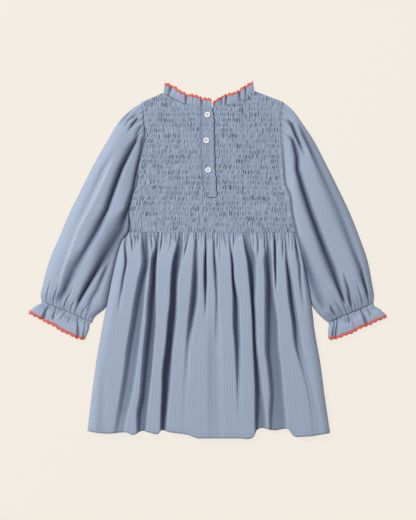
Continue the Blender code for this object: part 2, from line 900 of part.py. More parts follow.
def frill_stations():
    """Every station round the neck: base, top, height and share of the wave."""
    left, under, right = FRILL_LEFT, under_rows(), FRILL_RIGHT
    stations = upper_stations(left, True)
    stations += turned_stations(left[-1], under[0], -1.0)
    stations += under_stations(under)
    stations += reversed(turned_stations(right[0], under[-1], 1.0))
    stations += upper_stations(right, False)
    return stations


def frill_point(stations, position, t, reach=0.0):
    """Point of the frill: t from its base to its top, and reach past its top."""
    i = min(int(position), len(stations) - 2)
    share = position - i
    base = mix(stations[i][0], stations[i + 1][0], share)
    top = mix(stations[i][1], stations[i + 1][1], share)
    level, wave = (stations[i][k] + share * (stations[i + 1][k] - stations[i][k]) for k in (2, 3))
    away = Vector((top[0] - base[0], top[1] - base[1])).normalized() * reach
    plan = mix(base, top, t)
    height = level + FRILL_WAVE * wave * (0.3 + 0.7 * min(t, 1.0))
    return plan[0] + away.x, plan[1] + away.y, height


def make_neck_ruffle(collection):
    stations = frill_stations()
    columns = len(stations) - 1
    bm = surface(columns, FRILL_ROWS, lambda u, v: frill_point(stations, u * columns, v))
    obj = add_object(collection, "neck_ruffle", bm, "chambray")
    give_wall(obj, WALL)
    return obj


def make_neck_trim(collection):
    """Scalloped edging along the frill's top, made from its stations and moved out."""
    stations = frill_stations()
    last = len(stations) - 1
    travelled = [0.0]
    for a, b in zip(stations, stations[1:]):
        step = math.dist((*a[1], a[2]), (*b[1], b[2]))
        travelled.append(travelled[-1] + step)
    scallops = round(travelled[-1] / TRIM_PITCH_NECK)
    pitch = travelled[-1] / scallops

    def place(u, v):
        column = round(u * last)
        reach = TRIM_GAP + v * scallop(travelled[column], pitch)
        return frill_point(stations, float(column), 1.0, reach)

    bm = surface(last, 1, place)
    obj = add_object(collection, "neck_trim", bm, "coral")
    give_wall(obj, WALL)
    return obj


def centre_on_origin(objects):
    """Move the whole dress so that the middle of its plan is the origin."""
    bpy.context.view_layer.update()
    depsgraph = bpy.context.evaluated_depsgraph_get()
    corners = []
    for obj in objects:
        shape = obj.evaluated_get(depsgraph)
        corners += [shape.matrix_world @ Vector(corner) for corner in shape.bound_box]
    low_x, high_x = min(c.x for c in corners), max(c.x for c in corners)
    low_y, high_y = min(c.y for c in corners), max(c.y for c in corners)
    low_z = min(c.z for c in corners)
    shift = Vector((-0.5 * (low_x + high_x), -0.5 * (low_y + high_y), -low_z))
    for obj in bpy.data.objects:
        obj.location += shift


def main():
    clear_scene()
    collection = new_collection(COLLECTION)
    cutters = new_collection("cutters")
    make_skirt_front(collection)
    make_skirt_back(collection)
    make_bodice_front(collection)
    make_bodice_back(collection)
    make_placket(collection)
    for number, (x, y) in enumerate(BUTTONS, start=1):
        make_button(collection, cutters, f"button_{number}", x, y)
    for side in ("left", "right"):
        make_sleeve(collection, side)
        make_cuff(collection, side)
        make_cuff_trim(collection, side)
    make_neck_ruffle(collection)
    make_neck_trim(collection)
    centre_on_origin(list(collection.objects))


main()
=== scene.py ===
"""Looks of a child's smocked dress, laid flat with its buttoned back uppermost.

Each cloth is a thin shell on the form of the solid that it stands for, with the
folds, gathers and smocked puckers placed one by one.
millimetres on the pattern: +x to the right, +y towards the neck, z up from the
surface. Layout moves them into the row frame.
"""
import logging
import math
import random
from dataclasses import dataclass, field
from enum import Enum
from typing import Any, Callable, Optional, Sequence

import bmesh
import bpy
import numpy as np
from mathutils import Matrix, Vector


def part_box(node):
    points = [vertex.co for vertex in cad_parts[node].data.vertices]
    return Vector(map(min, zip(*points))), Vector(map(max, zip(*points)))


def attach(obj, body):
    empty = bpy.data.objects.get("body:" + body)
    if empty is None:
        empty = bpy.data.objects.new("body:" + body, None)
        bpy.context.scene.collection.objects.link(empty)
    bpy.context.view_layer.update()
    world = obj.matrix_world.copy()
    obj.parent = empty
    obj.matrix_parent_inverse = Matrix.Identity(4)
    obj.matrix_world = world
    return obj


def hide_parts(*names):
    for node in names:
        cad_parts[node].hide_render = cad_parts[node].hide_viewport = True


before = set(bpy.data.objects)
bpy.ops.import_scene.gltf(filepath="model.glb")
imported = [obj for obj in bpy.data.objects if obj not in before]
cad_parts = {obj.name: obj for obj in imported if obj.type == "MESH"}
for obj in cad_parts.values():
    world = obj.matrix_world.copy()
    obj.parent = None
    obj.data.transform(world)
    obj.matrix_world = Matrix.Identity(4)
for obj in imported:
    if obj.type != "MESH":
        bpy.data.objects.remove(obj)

MM = 0.001
LOG = logging.getLogger("smocked_dress")
Column = np.ndarray
Table = Sequence[Sequence[float]]

# Cloth and seams, as in the solids
SEAM = 0.8
PLATE_WALL = 1.5
LAYER_GAP = 0.3
BACK_INSIDE = PLATE_WALL + LAYER_GAP
BACK_FACE = BACK_INSIDE + PLATE_WALL
LOW = 2.5
CLOTH = 0.9                 # wall of the shells
JOIN = 0.3                  # panels start this far above the waist line
PAST_HEM = 40.0             # map distance that keeps the hem's stitch line off other cloth

# Driving sizes of the body
WAIST_Y = 45.0
UNDERARM_Y = 124.0
SHOULDER_Y = 262.0
FRONT_HEM_Y = -279.0
FRONT_NECK_DROP = 22.0

# y, left side, right side
BODY_SIDES = (
    (262, -108, 127), (239, -106, 125), (205, -104, 124), (182, -107, 126), (153, -114, 128),
    (124, -117, 131), (108, -123, 138), (77, -130, 142), (45, -132, 149), (32, -141, 152),
    (11, -148, 157), (-23, -156, 164), (-78, -167, 174), (-120, -175, 179), (-171, -184, 188),
    (-231, -192, 196), (-298, -200, 206),
)

# x, y along the shoulders and the back neckline
TOP_LINE = (
    (-108, 262), (-73, 277), (-55, 268), (-38, 259), (-12, 255), (6, 252), (27, 256), (47, 260),
    (62, 266), (79, 281), (127, 262),
)
NECK_LEFT_X = -73.0
NECK_RIGHT_X = 79.0

# x, y along the back hem, which draws up where a fold runs deep
HEM_LINE = (
    (-200, -285), (-166, -289), (-134, -287), (-123, -291), (-107, -285), (-82, -290),
    (-76, -284), (-60, -287), (-32, -291), (-13, -297), (55, -297), (78, -293), (82, -285),
    (114, -284), (134, -281), (142, -292), (160, -294), (206, -288),
)

HEM_LEVEL_Y = -288.0
ABOVE_HEM_Y = -250.0
HEM_STITCHES_UP = 7.5

# y, x down the back slit
SLIT_LINE = ((262, 7), (236, 10), (199, 11), (158, 12), (104, 15), (45, 15))
SLIT_END_Y = 104.0

# y, left edge of the placket band
BAND_LEFT = ((262, -7), (236, -7), (199, -8), (149, -6), (104, -2))

# x, y of each button
BUTTONS = ((1, 241), (-1, 198), (2, 149))


class Slot(Enum):
    """Material slots of the record."""

    CHAMBRAY = "chambray"
    CORAL = "coral"
    BUTTON = "button_white"


class Side(Enum):
    """Left or right in the picture."""

    LEFT = "left"
    RIGHT = "right"

    @property
    def sign(self) -> float:
        """Direction of this side along x."""
        return -1.0 if self is Side.LEFT else 1.0

    def edge(self, y: Column) -> Column:
        """This side of the body at each height."""
        return smooth_read(BODY_SIDES, y, 1 if self is Side.LEFT else 2)


class Hold(Enum):
    """How a cloth is held."""

    LAID = "laid"
    GATHERED = "gathered"


# Reading tables

def smooth_read(table: Table, at: Column, column: int = 1) -> Column:
    """Read a table's column, joined smoothly and without overshoot.

    Args:
        table: Rows with the key first.
        at: Keys to read at.
        column: Which column holds the values.

    Returns:
        One value for each key.
    """
    rows = sorted(table, key=lambda row: row[0])
    keys = np.array([row[0] for row in rows], float)
    values = np.array([row[column] for row in rows], float)
    at = np.clip(np.asarray(at, float), keys[0], keys[-1])
    chords = np.diff(values) / np.diff(keys)
    slopes = np.concatenate(([chords[0]], np.zeros(len(keys) - 2), [chords[-1]]))
    if len(keys) > 2:
        agree = chords[:-1] * chords[1:] > 0
        slopes[1:-1] = np.where(agree, 0.5 * (chords[:-1] + chords[1:]), 0.0)
    i = np.clip(np.searchsorted(keys, at, side="right") - 1, 0, len(keys) - 2)
    step = keys[i + 1] - keys[i]
    t = (at - keys[i]) / step
    ends = values[i] * (2 * t**3 - 3 * t**2 + 1) + values[i + 1] * (3 * t**2 - 2 * t**3)
    return ends + step * (slopes[i] * (t**3 - 2 * t**2 + t) + slopes[i + 1] * (t**3 - t**2))


def line_read(table: Table, at: Column, column: int = 1) -> Column:
    """Read a table's column, joined by straight lines.

    Args:
        table: Rows with the key first.
        at: Keys to read at.
        column: Which column holds the values.

    Returns:
        One value for each key.
    """
    rows = sorted(table, key=lambda row: row[0])
    return np.interp(at, [row[0] for row in rows], [row[column] for row in rows])


def soft_step(value: Column) -> Column:
    """Smooth step from 0 to 1."""
    value = np.clip(value, 0.0, 1.0)
    return value * value * (3 - 2 * value)


def bell(distance: Column, half_width: float) -> Column:
    """Soft bump that is 1 at its middle."""
    return np.exp(-((distance / half_width) ** 2))


def rounded(inward: Column, radius: float) -> Column:
    """Height of a round edge, from 0 at the edge to 1 at its radius."""
    away = 1 - np.clip(inward / radius, 0.0, 1.0)
    return np.sqrt(np.clip(1 - away**2, 0.0, 1.0))


def petals(turns: Column) -> Column:
    """Outline of the edging's scallops, one for each turn."""
    return np.abs(np.sin(np.pi * turns)) ** 0.6


def off_rim(u: Column, v: Column, steep: float) -> Column:
    """1 inside a panel and 0 on its rim."""
    return soft_step(steep * np.minimum(np.minimum(u, 1 - u), np.minimum(v, 1 - v)))


def path_read(points: Table, share: Column) -> tuple[Column, Column]:
    """Points at shares of a path's length, joined smoothly.

    Args:
        points: Corners of the path, x and y.
        share: Shares of the length, from 0 to 1.

    Returns:
        The x and the y of each point.
    """
    steps = [math.dist(p, q) for p, q in zip(points, points[1:])]
    done = np.concatenate(([0.0], np.cumsum(steps))) / sum(steps)
    rows_x = [(key, point[0]) for key, point in zip(done, points)]
    rows_y = [(key, point[1]) for key, point in zip(done, points)]
    return smooth_read(rows_x, share), smooth_read(rows_y, share)


def beside_path(points: Table, x: Column, y: Column) -> tuple[Column, Column]:
    """Signed distance from a path and the share of its length at the nearest point.

    Args:
        points: Corners of the path, x and y.
        x: Places to measure from.
        y: Places to measure from.

    Returns:
        Distance, positive to the right of the path's direction, and share.
    """
    best = np.full(x.shape, 1e9)
    signed = np.zeros(x.shape)
    share = np.zeros(x.shape)
    total = sum(math.dist(p, q) for p, q in zip(points, points[1:]))
    done = 0.0
    for p, q in zip(points, points[1:]):
        dx, dy = q[0] - p[0], q[1] - p[1]
        length = math.hypot(dx, dy)
        t = np.clip(((x - p[0]) * dx + (y - p[1]) * dy) / length**2, 0.0, 1.0)
        off_x, off_y = x - p[0] - t * dx, y - p[1] - t * dy
        distance = np.hypot(off_x, off_y)
        closer = distance < best
        side = np.where(off_x * dy - off_y * dx >= 0, 1.0, -1.0)
        best = np.where(closer, distance, best)
        signed = np.where(closer, side * distance, signed)
        share = np.where(closer, (done + t * length) / total, share)
        done += length
    return signed, share


def sides(y: Column) -> tuple[Column, Column]:
    """Left and right side of the body at each height."""
    return Side.LEFT.edge(y), Side.RIGHT.edge(y)


def back_top(x: Column) -> Column:
    """Top line of the back at each x."""
    return line_read(TOP_LINE, x)


def front_top(x: Column) -> Column:
    """Top line of the front, cut lower between the shoulders."""
    middle = 0.5 * (NECK_LEFT_X + NECK_RIGHT_X)
    half = 0.5 * (NECK_RIGHT_X - NECK_LEFT_X)
    offset = np.minimum(np.abs(x - middle) / half, 1.0)
    return back_top(x) - FRONT_NECK_DROP * (1 - offset**3)


# Shader maths

class Wire:
    """A shader number whose Python arithmetic adds Math nodes."""

    def __init__(self, paint: "Paint", socket: bpy.types.NodeSocket) -> None:
        """Hold one output socket."""
        self.paint = paint
        self.socket = socket

    def __add__(self, other: Any) -> "Wire":
        """Sum of two numbers."""
        return self.paint.math("ADD", self, other)

    __radd__ = __add__

    def __sub__(self, other: Any) -> "Wire":
        """This number less another."""
        return self.paint.math("SUBTRACT", self, other)

    def __rsub__(self, other: Any) -> "Wire":
        """Another number less this one."""
        return self.paint.math("SUBTRACT", other, self)

    def __mul__(self, other: Any) -> "Wire":
        """Product of two numbers."""
        return self.paint.math("MULTIPLY", self, other)

    __rmul__ = __mul__

    def __pow__(self, other: Any) -> "Wire":
        """This number to a power."""
        return self.paint.math("POWER", self, other)


class Paint:
    """Builds the nodes of one material."""

    def __init__(self, name: str) -> None:
        """Start a material with its Principled shader."""
        self.material = bpy.data.materials.new(name)
        self.material.use_nodes = True
        self.tree = self.material.node_tree
        self.shader = self.tree.nodes["Principled BSDF"]

    def plug(self, socket: bpy.types.NodeSocket, value: Any) -> None:
        """Link a wire or a socket to an input, or set its value."""
        if isinstance(value, Wire):
            value = value.socket
        if isinstance(value, bpy.types.NodeSocket):
            self.tree.links.new(value, socket)
        else:
            socket.default_value = value

    def node(
        self, kind: str, settings: Optional[dict] = None, inputs: Optional[dict] = None
    ) -> bpy.types.Node:
        """Add a node.

        Args:
            kind: The node's type.
            settings: Properties, set first. "stops" holds a ramp's places and colours.
            inputs: Values or links by socket name or number.

        Returns:
            The new node.
        """
        made = self.tree.nodes.new(kind)
        for name, value in (settings or {}).items():
            if name == "stops":
                ramp = made.color_ramp
                for number, (place, colour) in enumerate(value):
                    stop = ramp.elements[number] if number < 2 else ramp.elements.new(place)
                    stop.position = place
                    stop.color = colour
            else:
                setattr(made, name, value)
        for name, value in (inputs or {}).items():
            self.plug(made.inputs[name], value)
        return made

    def math(self, operation: str, *values: Any) -> Wire:
        """Add a Math node on wires and numbers."""
        made = self.node("ShaderNodeMath", {"operation": operation}, dict(enumerate(values)))
        return Wire(self, made.outputs[0])

    def mix(self, share: Any, first: Any, second: Any) -> bpy.types.NodeSocket:
        """Mix two colours by a share."""
        inputs = {0: share, 6: first, 7: second}
        made = self.node("ShaderNodeMix", {"data_type": "RGBA"}, inputs)
        return made.outputs[2]

    def coordinates(self, uv_map: str) -> tuple[Wire, Wire]:
        """Across and along wires of a piece's own map, in metres."""
        source = self.node("ShaderNodeUVMap", {"uv_map": uv_map}).outputs["UV"]
        split = self.node("ShaderNodeSeparateXYZ", inputs={0: source})
        return Wire(self, split.outputs["X"]), Wire(self, split.outputs["Y"])

    def vector(self, x: Any, y: Any, z: Any = 0.0) -> bpy.types.NodeSocket:
        """Join three numbers as a vector."""
        return self.node("ShaderNodeCombineXYZ", inputs={0: x, 1: y, 2: z}).outputs[0]

    def noise(self, vector: Any, scale: float, detail: float = 2.0) -> Wire:
        """Noise from 0 to 1 on a vector."""
        inputs = {"Vector": vector, "Scale": scale, "Detail": detail}
        made = self.node("ShaderNodeTexNoise", inputs=inputs)
        return Wire(self, made.outputs[0])

    def wave(self, value: Wire, pitch: float) -> Wire:
        """Sine from 0 to 1 with a pitch in the value's own units."""
        return self.math("SINE", value * (2 * math.pi / pitch)) * 0.5 + 0.5

    def attribute(self, name: str) -> Wire:
        """A number kept on the piece's points."""
        settings = {"attribute_type": "GEOMETRY", "attribute_name": name}
        return Wire(self, self.node("ShaderNodeAttribute", settings).outputs["Fac"])

    def bump(self, height: Wire, strength: float, distance: float) -> None:
        """Send a height to the shader's normal."""
        inputs = {"Strength": strength, "Distance": distance, "Height": height}
        made = self.node("ShaderNodeBump", inputs=inputs)
        self.plug(self.shader.inputs["Normal"], made.outputs[0])

    def constants(self, **values: Any) -> None:
        """Set the shader's own sockets, with _ for a space."""
        for name, value in values.items():
            self.shader.inputs[name.replace("_", " ")].default_value = value


@dataclass(frozen=True)
class ChambrayFinish:
    """Matt cotton with a faint tone-on-tone stripe along the grain, and painted shade and highlight."""

    name: str
    light: tuple[float, float, float, float] = (0.375, 0.430, 0.535, 1.0)
    dark: tuple[float, float, float, float] = (0.235, 0.300, 0.415, 1.0)
    # colour of the painted shade in folds and creases
    painted_shading: tuple[float, float, float, float] = (0.056, 0.070, 0.130, 1.0)
    stripe_pitch: float = 0.0042
    stripe_share: float = 0.46
    thread_pitch: float = 0.0007
    painted_shade_share: float = 0.9
    hem_line: float = 0.0075
    tone_drop: float = 0.19
    ridge_light: float = 2.0    # painted highlight for each unit that the painted shading lies under 0

    def material(self) -> bpy.types.Material:
        """Build the cloth's material."""
        paint = Paint(self.name)
        across, along = paint.coordinates("cloth")
        drift = paint.noise(paint.vector(across * 20.0, along * 9.0), 1.0)
        stripe = paint.wave(across + drift * 0.0012, self.stripe_pitch) ** 1.6
        streak = paint.noise(paint.vector(across * 1500.0, along * 45.0), 1.0, 3.0)
        slub = paint.noise(paint.vector(across * 70.0, along * 1300.0), 1.0, 2.0)
        cloud = paint.noise(paint.vector(across * 14.0, along * 8.0), 1.0, 2.0)
        warp = paint.wave(across, self.thread_pitch)
        weft = paint.wave(along, self.thread_pitch)
        tone = stripe * self.stripe_share + streak * 0.6 + slub * 0.25 + cloud * 0.2
        # painted shading on the points: above 0 painted shade, below 0 it lifts the tone as a painted
        # highlight
        depth = paint.attribute("painted_shading")
        tone = tone - self.tone_drop - paint.math("MINIMUM", depth, 0.0) * self.ridge_light
        tone.socket.node.use_clamp = True
        cloth = paint.mix(tone, self.dark, self.light)
        # a faint darker line along the hem's stitching, mixed toward the painted shade colour
        stitched = 1.0 - paint.math("ABSOLUTE", along - self.hem_line) * 900.0
        stitched.socket.node.use_clamp = True
        # painted shade: mix toward the dark colour in folds and creases
        painted_shading = depth * self.painted_shade_share + stitched * 0.16
        painted_shading.socket.node.use_clamp = True
        shaded = paint.mix(painted_shading, cloth, self.painted_shading)
        paint.plug(paint.shader.inputs["Base Color"], shaded)
        paint.plug(paint.shader.inputs["Roughness"], 0.80 + streak * 0.15)
        paint.bump(warp * weft * 0.5 + slub * 0.5 + streak * 0.6 + stripe * 0.4, 0.35, 0.0003)
        paint.constants(Sheen_Weight=0.18, Sheen_Roughness=0.45, Specular_IOR_Level=0.25)
        return paint.material


@dataclass(frozen=True)
class CoralFinish:
    """Soft coral braid with a slanted rib."""

    name: str
    light: tuple[float, float, float, float] = (0.82, 0.185, 0.140, 1.0)
    dark: tuple[float, float, float, float] = (0.56, 0.062, 0.050, 1.0)
    rib_pitch: float = 0.0012

    def material(self) -> bpy.types.Material:
        """Build the braid's material."""
        paint = Paint(self.name)
        across, along = paint.coordinates("cloth")
        rib = paint.wave(across + along, self.rib_pitch)
        fibre = paint.noise(paint.vector(across * 2400.0, along * 2400.0), 1.0, 3.0)
        tone = rib * 0.45 + fibre * 0.55
        paint.plug(paint.shader.inputs["Base Color"], paint.mix(tone, self.dark, self.light))
        paint.plug(paint.shader.inputs["Roughness"], 0.65 + fibre * 0.2)
        paint.bump(rib + fibre * 0.5, 0.5, 0.0004)
        paint.constants(Sheen_Weight=0.3, Sheen_Roughness=0.4, Specular_IOR_Level=0.3)
        return paint.material


@dataclass(frozen=True)
class ButtonFinish:
    """White moulded button with a faint pearl cloud."""

    name: str
    light: tuple[float, float, float, float] = (0.93, 0.93, 0.92, 1.0)
    dark: tuple[float, float, float, float] = (0.78, 0.79, 0.80, 1.0)

    def material(self) -> bpy.types.Material:
        """Build the button's material."""
        paint = Paint(self.name)
        place = paint.node("ShaderNodeTexCoord").outputs["Object"]
        cloud = paint.noise(place, 420.0, 3.0)
        paint.plug(paint.shader.inputs["Base Color"], paint.mix(cloud, self.dark, self.light))
        paint.plug(paint.shader.inputs["Roughness"], 0.22 + cloud * 0.15)
        paint.constants(Coat_Weight=0.4, Coat_Roughness=0.15, Specular_IOR_Level=0.5)
        return paint.material


@dataclass(frozen=True)
class ThreadFinish:
    """Twisted sewing thread."""

    name: str
    light: tuple[float, float, float, float]
    dark: tuple[float, float, float, float]

    def material(self) -> bpy.types.Material:
        """Build the thread's material."""
        paint = Paint(self.name)
        place = paint.node("ShaderNodeTexCoord").outputs["Object"]
        fibre = paint.noise(place, 2600.0, 2.0)
        paint.plug(paint.shader.inputs["Base Color"], paint.mix(fibre, self.dark, self.light))
        paint.plug(paint.shader.inputs["Roughness"], 0.6 + fibre * 0.2)
        paint.bump(fibre, 0.3, 0.0002)
        paint.constants(Sheen_Weight=0.2)
        return paint.material


# Laying cloth

@dataclass
class Laid:
    """Cloth points: place in millimetres, place on the flat cloth, and painted shading, a painted
    highlight below 0.
    """

    x: Column
    y: Column
    z: Column
    across: Column
    along: Column
    painted_shading: Column


Shape = Callable[[Column, Column], Laid]


@dataclass(frozen=True)
class Layout:
    """Where the pattern's own origin lies in the row frame, in millimetres."""

    x: float
    y: float

    @classmethod
    def from_frame(cls) -> "Layout":
        """Find the pattern's origin from the top button."""
        low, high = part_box("button_1")
        middle = 0.5 * (low + high) / MM
        return cls(middle.x - BUTTONS[0][0], middle.y - BUTTONS[0][1])

    def point(self, x: float, y: float, z: float) -> Vector:
        """A pattern point in the row frame, in metres."""
        return Vector((x + self.x, y + self.y, z)) * MM


@dataclass
class Workroom:
    """Lays cloth, closes meshes and hands over the finished pieces."""

    layout: Layout
    finishes: dict[str, bpy.types.Material]

    def lay(self, columns: int, rows: int, shape: Shape, sewn: bool = False) -> bmesh.types.BMesh:
        """Lay a grid of cloth.

        Args:
            columns: Faces across.
            rows: Faces along.
            shape: Gives the cloth's points from u and v, each from 0 to 1.
            sewn: True where the first and last columns are one.

        Returns:
            The mesh, with its map and the painted shading of each point.
        """
        bm = bmesh.new()
        bmesh.ops.create_grid(bm, x_segments=columns, y_segments=rows, size=0.5)
        places = np.array([vert.co[:2] for vert in bm.verts]) + 0.5
        laid = shape(places[:, 0], places[:, 1])
        flat = bm.loops.layers.uv.new("cloth")
        # painted shading of each point: painted shade above 0, painted highlight below 0
        painted_shading = bm.verts.layers.float.new("painted_shading")
        rows_of = zip(bm.verts, laid.x.tolist(), laid.y.tolist(), laid.z.tolist(), laid.painted_shading.tolist())
        for vert, x, y, z, depth in rows_of:
            vert.co = self.layout.point(x, y, z)
            vert[painted_shading] = depth
        bm.verts.index_update()
        maps = (np.stack((laid.across, laid.along), axis=1) * MM).tolist()
        for face in bm.faces:
            for loop in face.loops:
                loop[flat].uv = maps[loop.vert.index]
        if sewn:
            bmesh.ops.remove_doubles(bm, verts=bm.verts, dist=0.01 * MM)
        bm.normal_update()
        if sum(face.normal.z for face in bm.faces) < 0:
            bmesh.ops.reverse_faces(bm, faces=bm.faces)
        return bm

    def finish(
        self, bm: bmesh.types.BMesh, name: str, finish: str, slot: Slot,
        nodes: Sequence[str] = (), wall: float = 0.0,
    ) -> bpy.types.Object:
        """Turn a mesh into a finished piece of the dress.

        Args:
            bm: The mesh, which is freed.
            name: The piece's name.
            finish: Which material it takes.
            slot: Not used.
            nodes: Solids that it stands for.
            wall: Thickness of its cloth in millimetres, or 0.

        Returns:
            The piece.
        """
        mesh = bpy.data.meshes.new(name)
        bm.to_mesh(mesh)
        bm.free()
        mesh.materials.append(self.finishes[finish])
        mesh.shade_smooth()
        piece = bpy.data.objects.new(name, mesh)
        bpy.context.scene.collection.objects.link(piece)
        if wall:
            shell = piece.modifiers.new("Wall", "SOLIDIFY")
            shell.thickness = wall * MM
            shell.offset = 0.0
            shell.use_even_offset = False
        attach(piece, "root")
        if nodes:
            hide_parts(*nodes)
        LOG.info("%s: %d faces", name, len(mesh.polygons))
        return piece

    def stitches(
        self, name: str, finish: str, slot: Slot, lines: Sequence[Sequence[Vector]],
        length: float, pitch: float, radius: float,
    ) -> bpy.types.Object:
        """Sew rows of small stitches as one joined mesh.

        Args:
            name: The piece's name.
            finish: Which material it takes.
            slot: Not used.
            lines: Paths in the row frame, in metres, at the stitches' height.
            length: Length of a stitch in millimetres.
            pitch: From stitch to stitch in millimetres.
            radius: Radius of the thread in millimetres.

        Returns:
            The piece.
        """
        bm = bmesh.new()
        for line in lines:
            left = 0.0
            for p, q in zip(line, line[1:]):
                run = (q - p).length
                while left < run:
                    middle = p.lerp(q, left / run)
                    made = bmesh.ops.create_icosphere(bm, subdivisions=1, radius=radius * MM)
                    stretch = 0.5 * length / radius
                    bmesh.ops.scale(bm, verts=made["verts"], vec=(stretch, 1.0, 0.7))
                    turn = (q - p).to_track_quat("X", "Z").to_matrix()
                    bmesh.ops.rotate(bm, verts=made["verts"], cent=(0, 0, 0), matrix=turn)
                    bmesh.ops.translate(bm, verts=made["verts"], vec=middle)
                    left += pitch * MM
                left -= run
        return self.finish(bm, name, finish, slot)


# Skirt

@dataclass(frozen=True)
class Fold:
    """A fold that runs down the skirt.

    Rows hold y, left edge, right edge and depth as a share of the lift. Soft holds
    the width over which each edge falls.
    """

    rows: Table
    soft: tuple[float, float]

    def depth(self, x: Column, y: Column) -> Column:
        """Share of the lift that is lost at each point."""
        left, right = smooth_read(self.rows, y, 1), smooth_read(self.rows, y, 2)
        deep = smooth_read(self.rows, y, 3)
        rise = soft_step((x - left) / self.soft[0] + 0.5)
        fall = soft_step((right - x) / self.soft[1] + 0.5)
        return deep * rise * fall


SKIRT_FOLDS = (
    Fold(((45, -135.5, -133, 0.4), (24, -137.5, -134.5, 0.7), (-1, -136, -132.5, 0.68),
          (-34, -140.5, -137.5, 0.45), (-68, -146, -142, 0.15), (-95, -150, -146, 0.0)), (4, 4)),
    Fold(((45, -106, -99, 0.6), (24, -106.5, -98, 0.85), (-1, -105, -96.5, 0.88),
          (-34, -111.5, -101.5, 0.85), (-68, -118, -105, 0.78), (-101, -123, -108, 0.75),
          (-143, -130, -113, 0.70), (-184, -135, -118, 0.62), (-226, -141.5, -125, 0.58),
          (-259, -147, -133, 0.50), (-290, -153, -138, 0.32)), (10, 4)),
    Fold(((45, -83, -80, 0.6), (24, -84, -81, 0.88), (-1, -91, -83, 1.0), (-34, -93, -84.5, 1.0),
          (-68, -96.5, -85, 0.95), (-101, -98.5, -85, 0.92), (-143, -103, -88, 0.90),
          (-184, -106.5, -91.5, 0.88), (-226, -110, -96.5, 0.88), (-259, -115, -100, 0.84),
          (-290, -115, -102, 0.76)), (7, 3)),
    Fold(((45, -46, -41, 0.4), (24, -50, -40, 0.75), (-1, -56.5, -43.5, 0.92),
          (-34, -60, -48.5, 0.97), (-68, -61.5, -50, 0.96), (-101, -65, -51.5, 0.98),
          (-143, -68.5, -56.5, 1.0), (-184, -73.5, -60, 1.0), (-226, -75, -63.5, 1.0),
          (-259, -76.5, -66.5, 0.96), (-290, -77, -68.5, 0.80)), (2.5, 5)),
    Fold(((45, -19, -16, 0.4), (24, -20, -15, 0.52), (-1, -21.5, -15, 0.64),
          (-34, -23.5, -15, 0.78), (-68, -26.5, -16.5, 0.82), (-101, -30, -21.5, 0.68),
          (-143, -33.5, -28, 0.28), (-184, -36.5, -30, 0.12), (-226, -40, -33, 0.05),
          (-290, -42, -35, 0.02)), (6, 5)),
    Fold(((45, -3, 0, 0.5), (24, -3, -0.5, 0.8), (-1, -4.5, -0.5, 0.92), (-34, -5, 0, 0.82),
          (-68, -4, -1, 0.35), (-98, -4, -1, 0.0)), (3, 3)),
    Fold(((45, 10.5, 13, 0.3), (24, 10.5, 13, 0.5), (-1, 11, 14.5, 0.65), (-34, 13, 18, 0.4),
          (-68, 15, 19, 0.28), (-118, 14, 22, 0.12), (-150, 14, 22, 0.0)), (4, 4)),
    Fold(((45, 36, 38, 0.3), (24, 37.5, 40, 0.45), (-1, 40, 43.5, 0.85), (-34, 41.5, 45.5, 1.0),
          (-68, 43.5, 51.5, 0.82), (-101, 43.5, 53.5, 0.78), (-143, 46.5, 55, 0.66),
          (-184, 48.5, 55, 0.44), (-226, 50, 57, 0.16), (-262, 51, 58, 0.0)), (3, 6)),
    Fold(((45, 60, 70, 0.3), (24, 62, 73, 0.7), (-1, 66.5, 80, 0.9), (-34, 70, 80, 0.94),
          (-68, 73, 79, 1.0), (-101, 75, 80.5, 0.94), (-143, 76.5, 82, 0.92),
          (-184, 78.5, 87, 0.88), (-226, 80, 91.5, 0.82), (-259, 80, 96, 0.76),
          (-290, 80.5, 98, 0.62)), (2.5, 8)),
    Fold(((45, 96, 101, 0.4), (24, 100, 105, 0.55), (-1, 96.5, 107, 0.86), (-34, 98.5, 108, 0.93),
          (-68, 98.5, 111.5, 0.92), (-101, 98.5, 116.5, 0.85), (-143, 98.5, 118, 0.79),
          (-184, 103, 123, 0.74), (-226, 106.5, 126.5, 0.68), (-259, 105, 130, 0.62),
          (-290, 105, 132, 0.50)), (8, 5)),
    Fold(((45, 111, 114, 0.6), (24, 111.5, 115, 1.0), (-1, 111.5, 115, 0.92),
          (-34, 113, 115.5, 0.4), (-55, 114, 116, 0.0)), (3, 3)),
    Fold(((45, 129, 131, 0.2), (24, 130.5, 133, 0.42), (-1, 131, 134, 0.8), (-34, 133.5, 140, 0.9),
          (-68, 136.5, 145, 0.85), (-101, 141.5, 150, 0.78), (-143, 146.5, 156.5, 0.52),
          (-184, 158, 168, 0.22), (-226, 168, 180, 0.14), (-290, 176, 190, 0.08)), (5, 8)),
    Fold(((45, 145, 149, 0.4), (24, 146, 150.5, 0.65), (-1, 151, 155.5, 0.45),
          (-34, 153, 158.5, 0.3), (-68, 157, 162, 0.1), (-90, 160, 165, 0.0)), (4, 4)),
    Fold(((-90, 4, 18, 0.0), (-143, 4, 20, 0.13), (-226, 4, 22, 0.15), (-290, 4, 24, 0.08)),
         (12, 12)),
    Fold(((-100, -182, -176, 0.0), (-184, -178, -168, 0.06), (-290, -180, -168, 0.10)), (12, 12)),
)

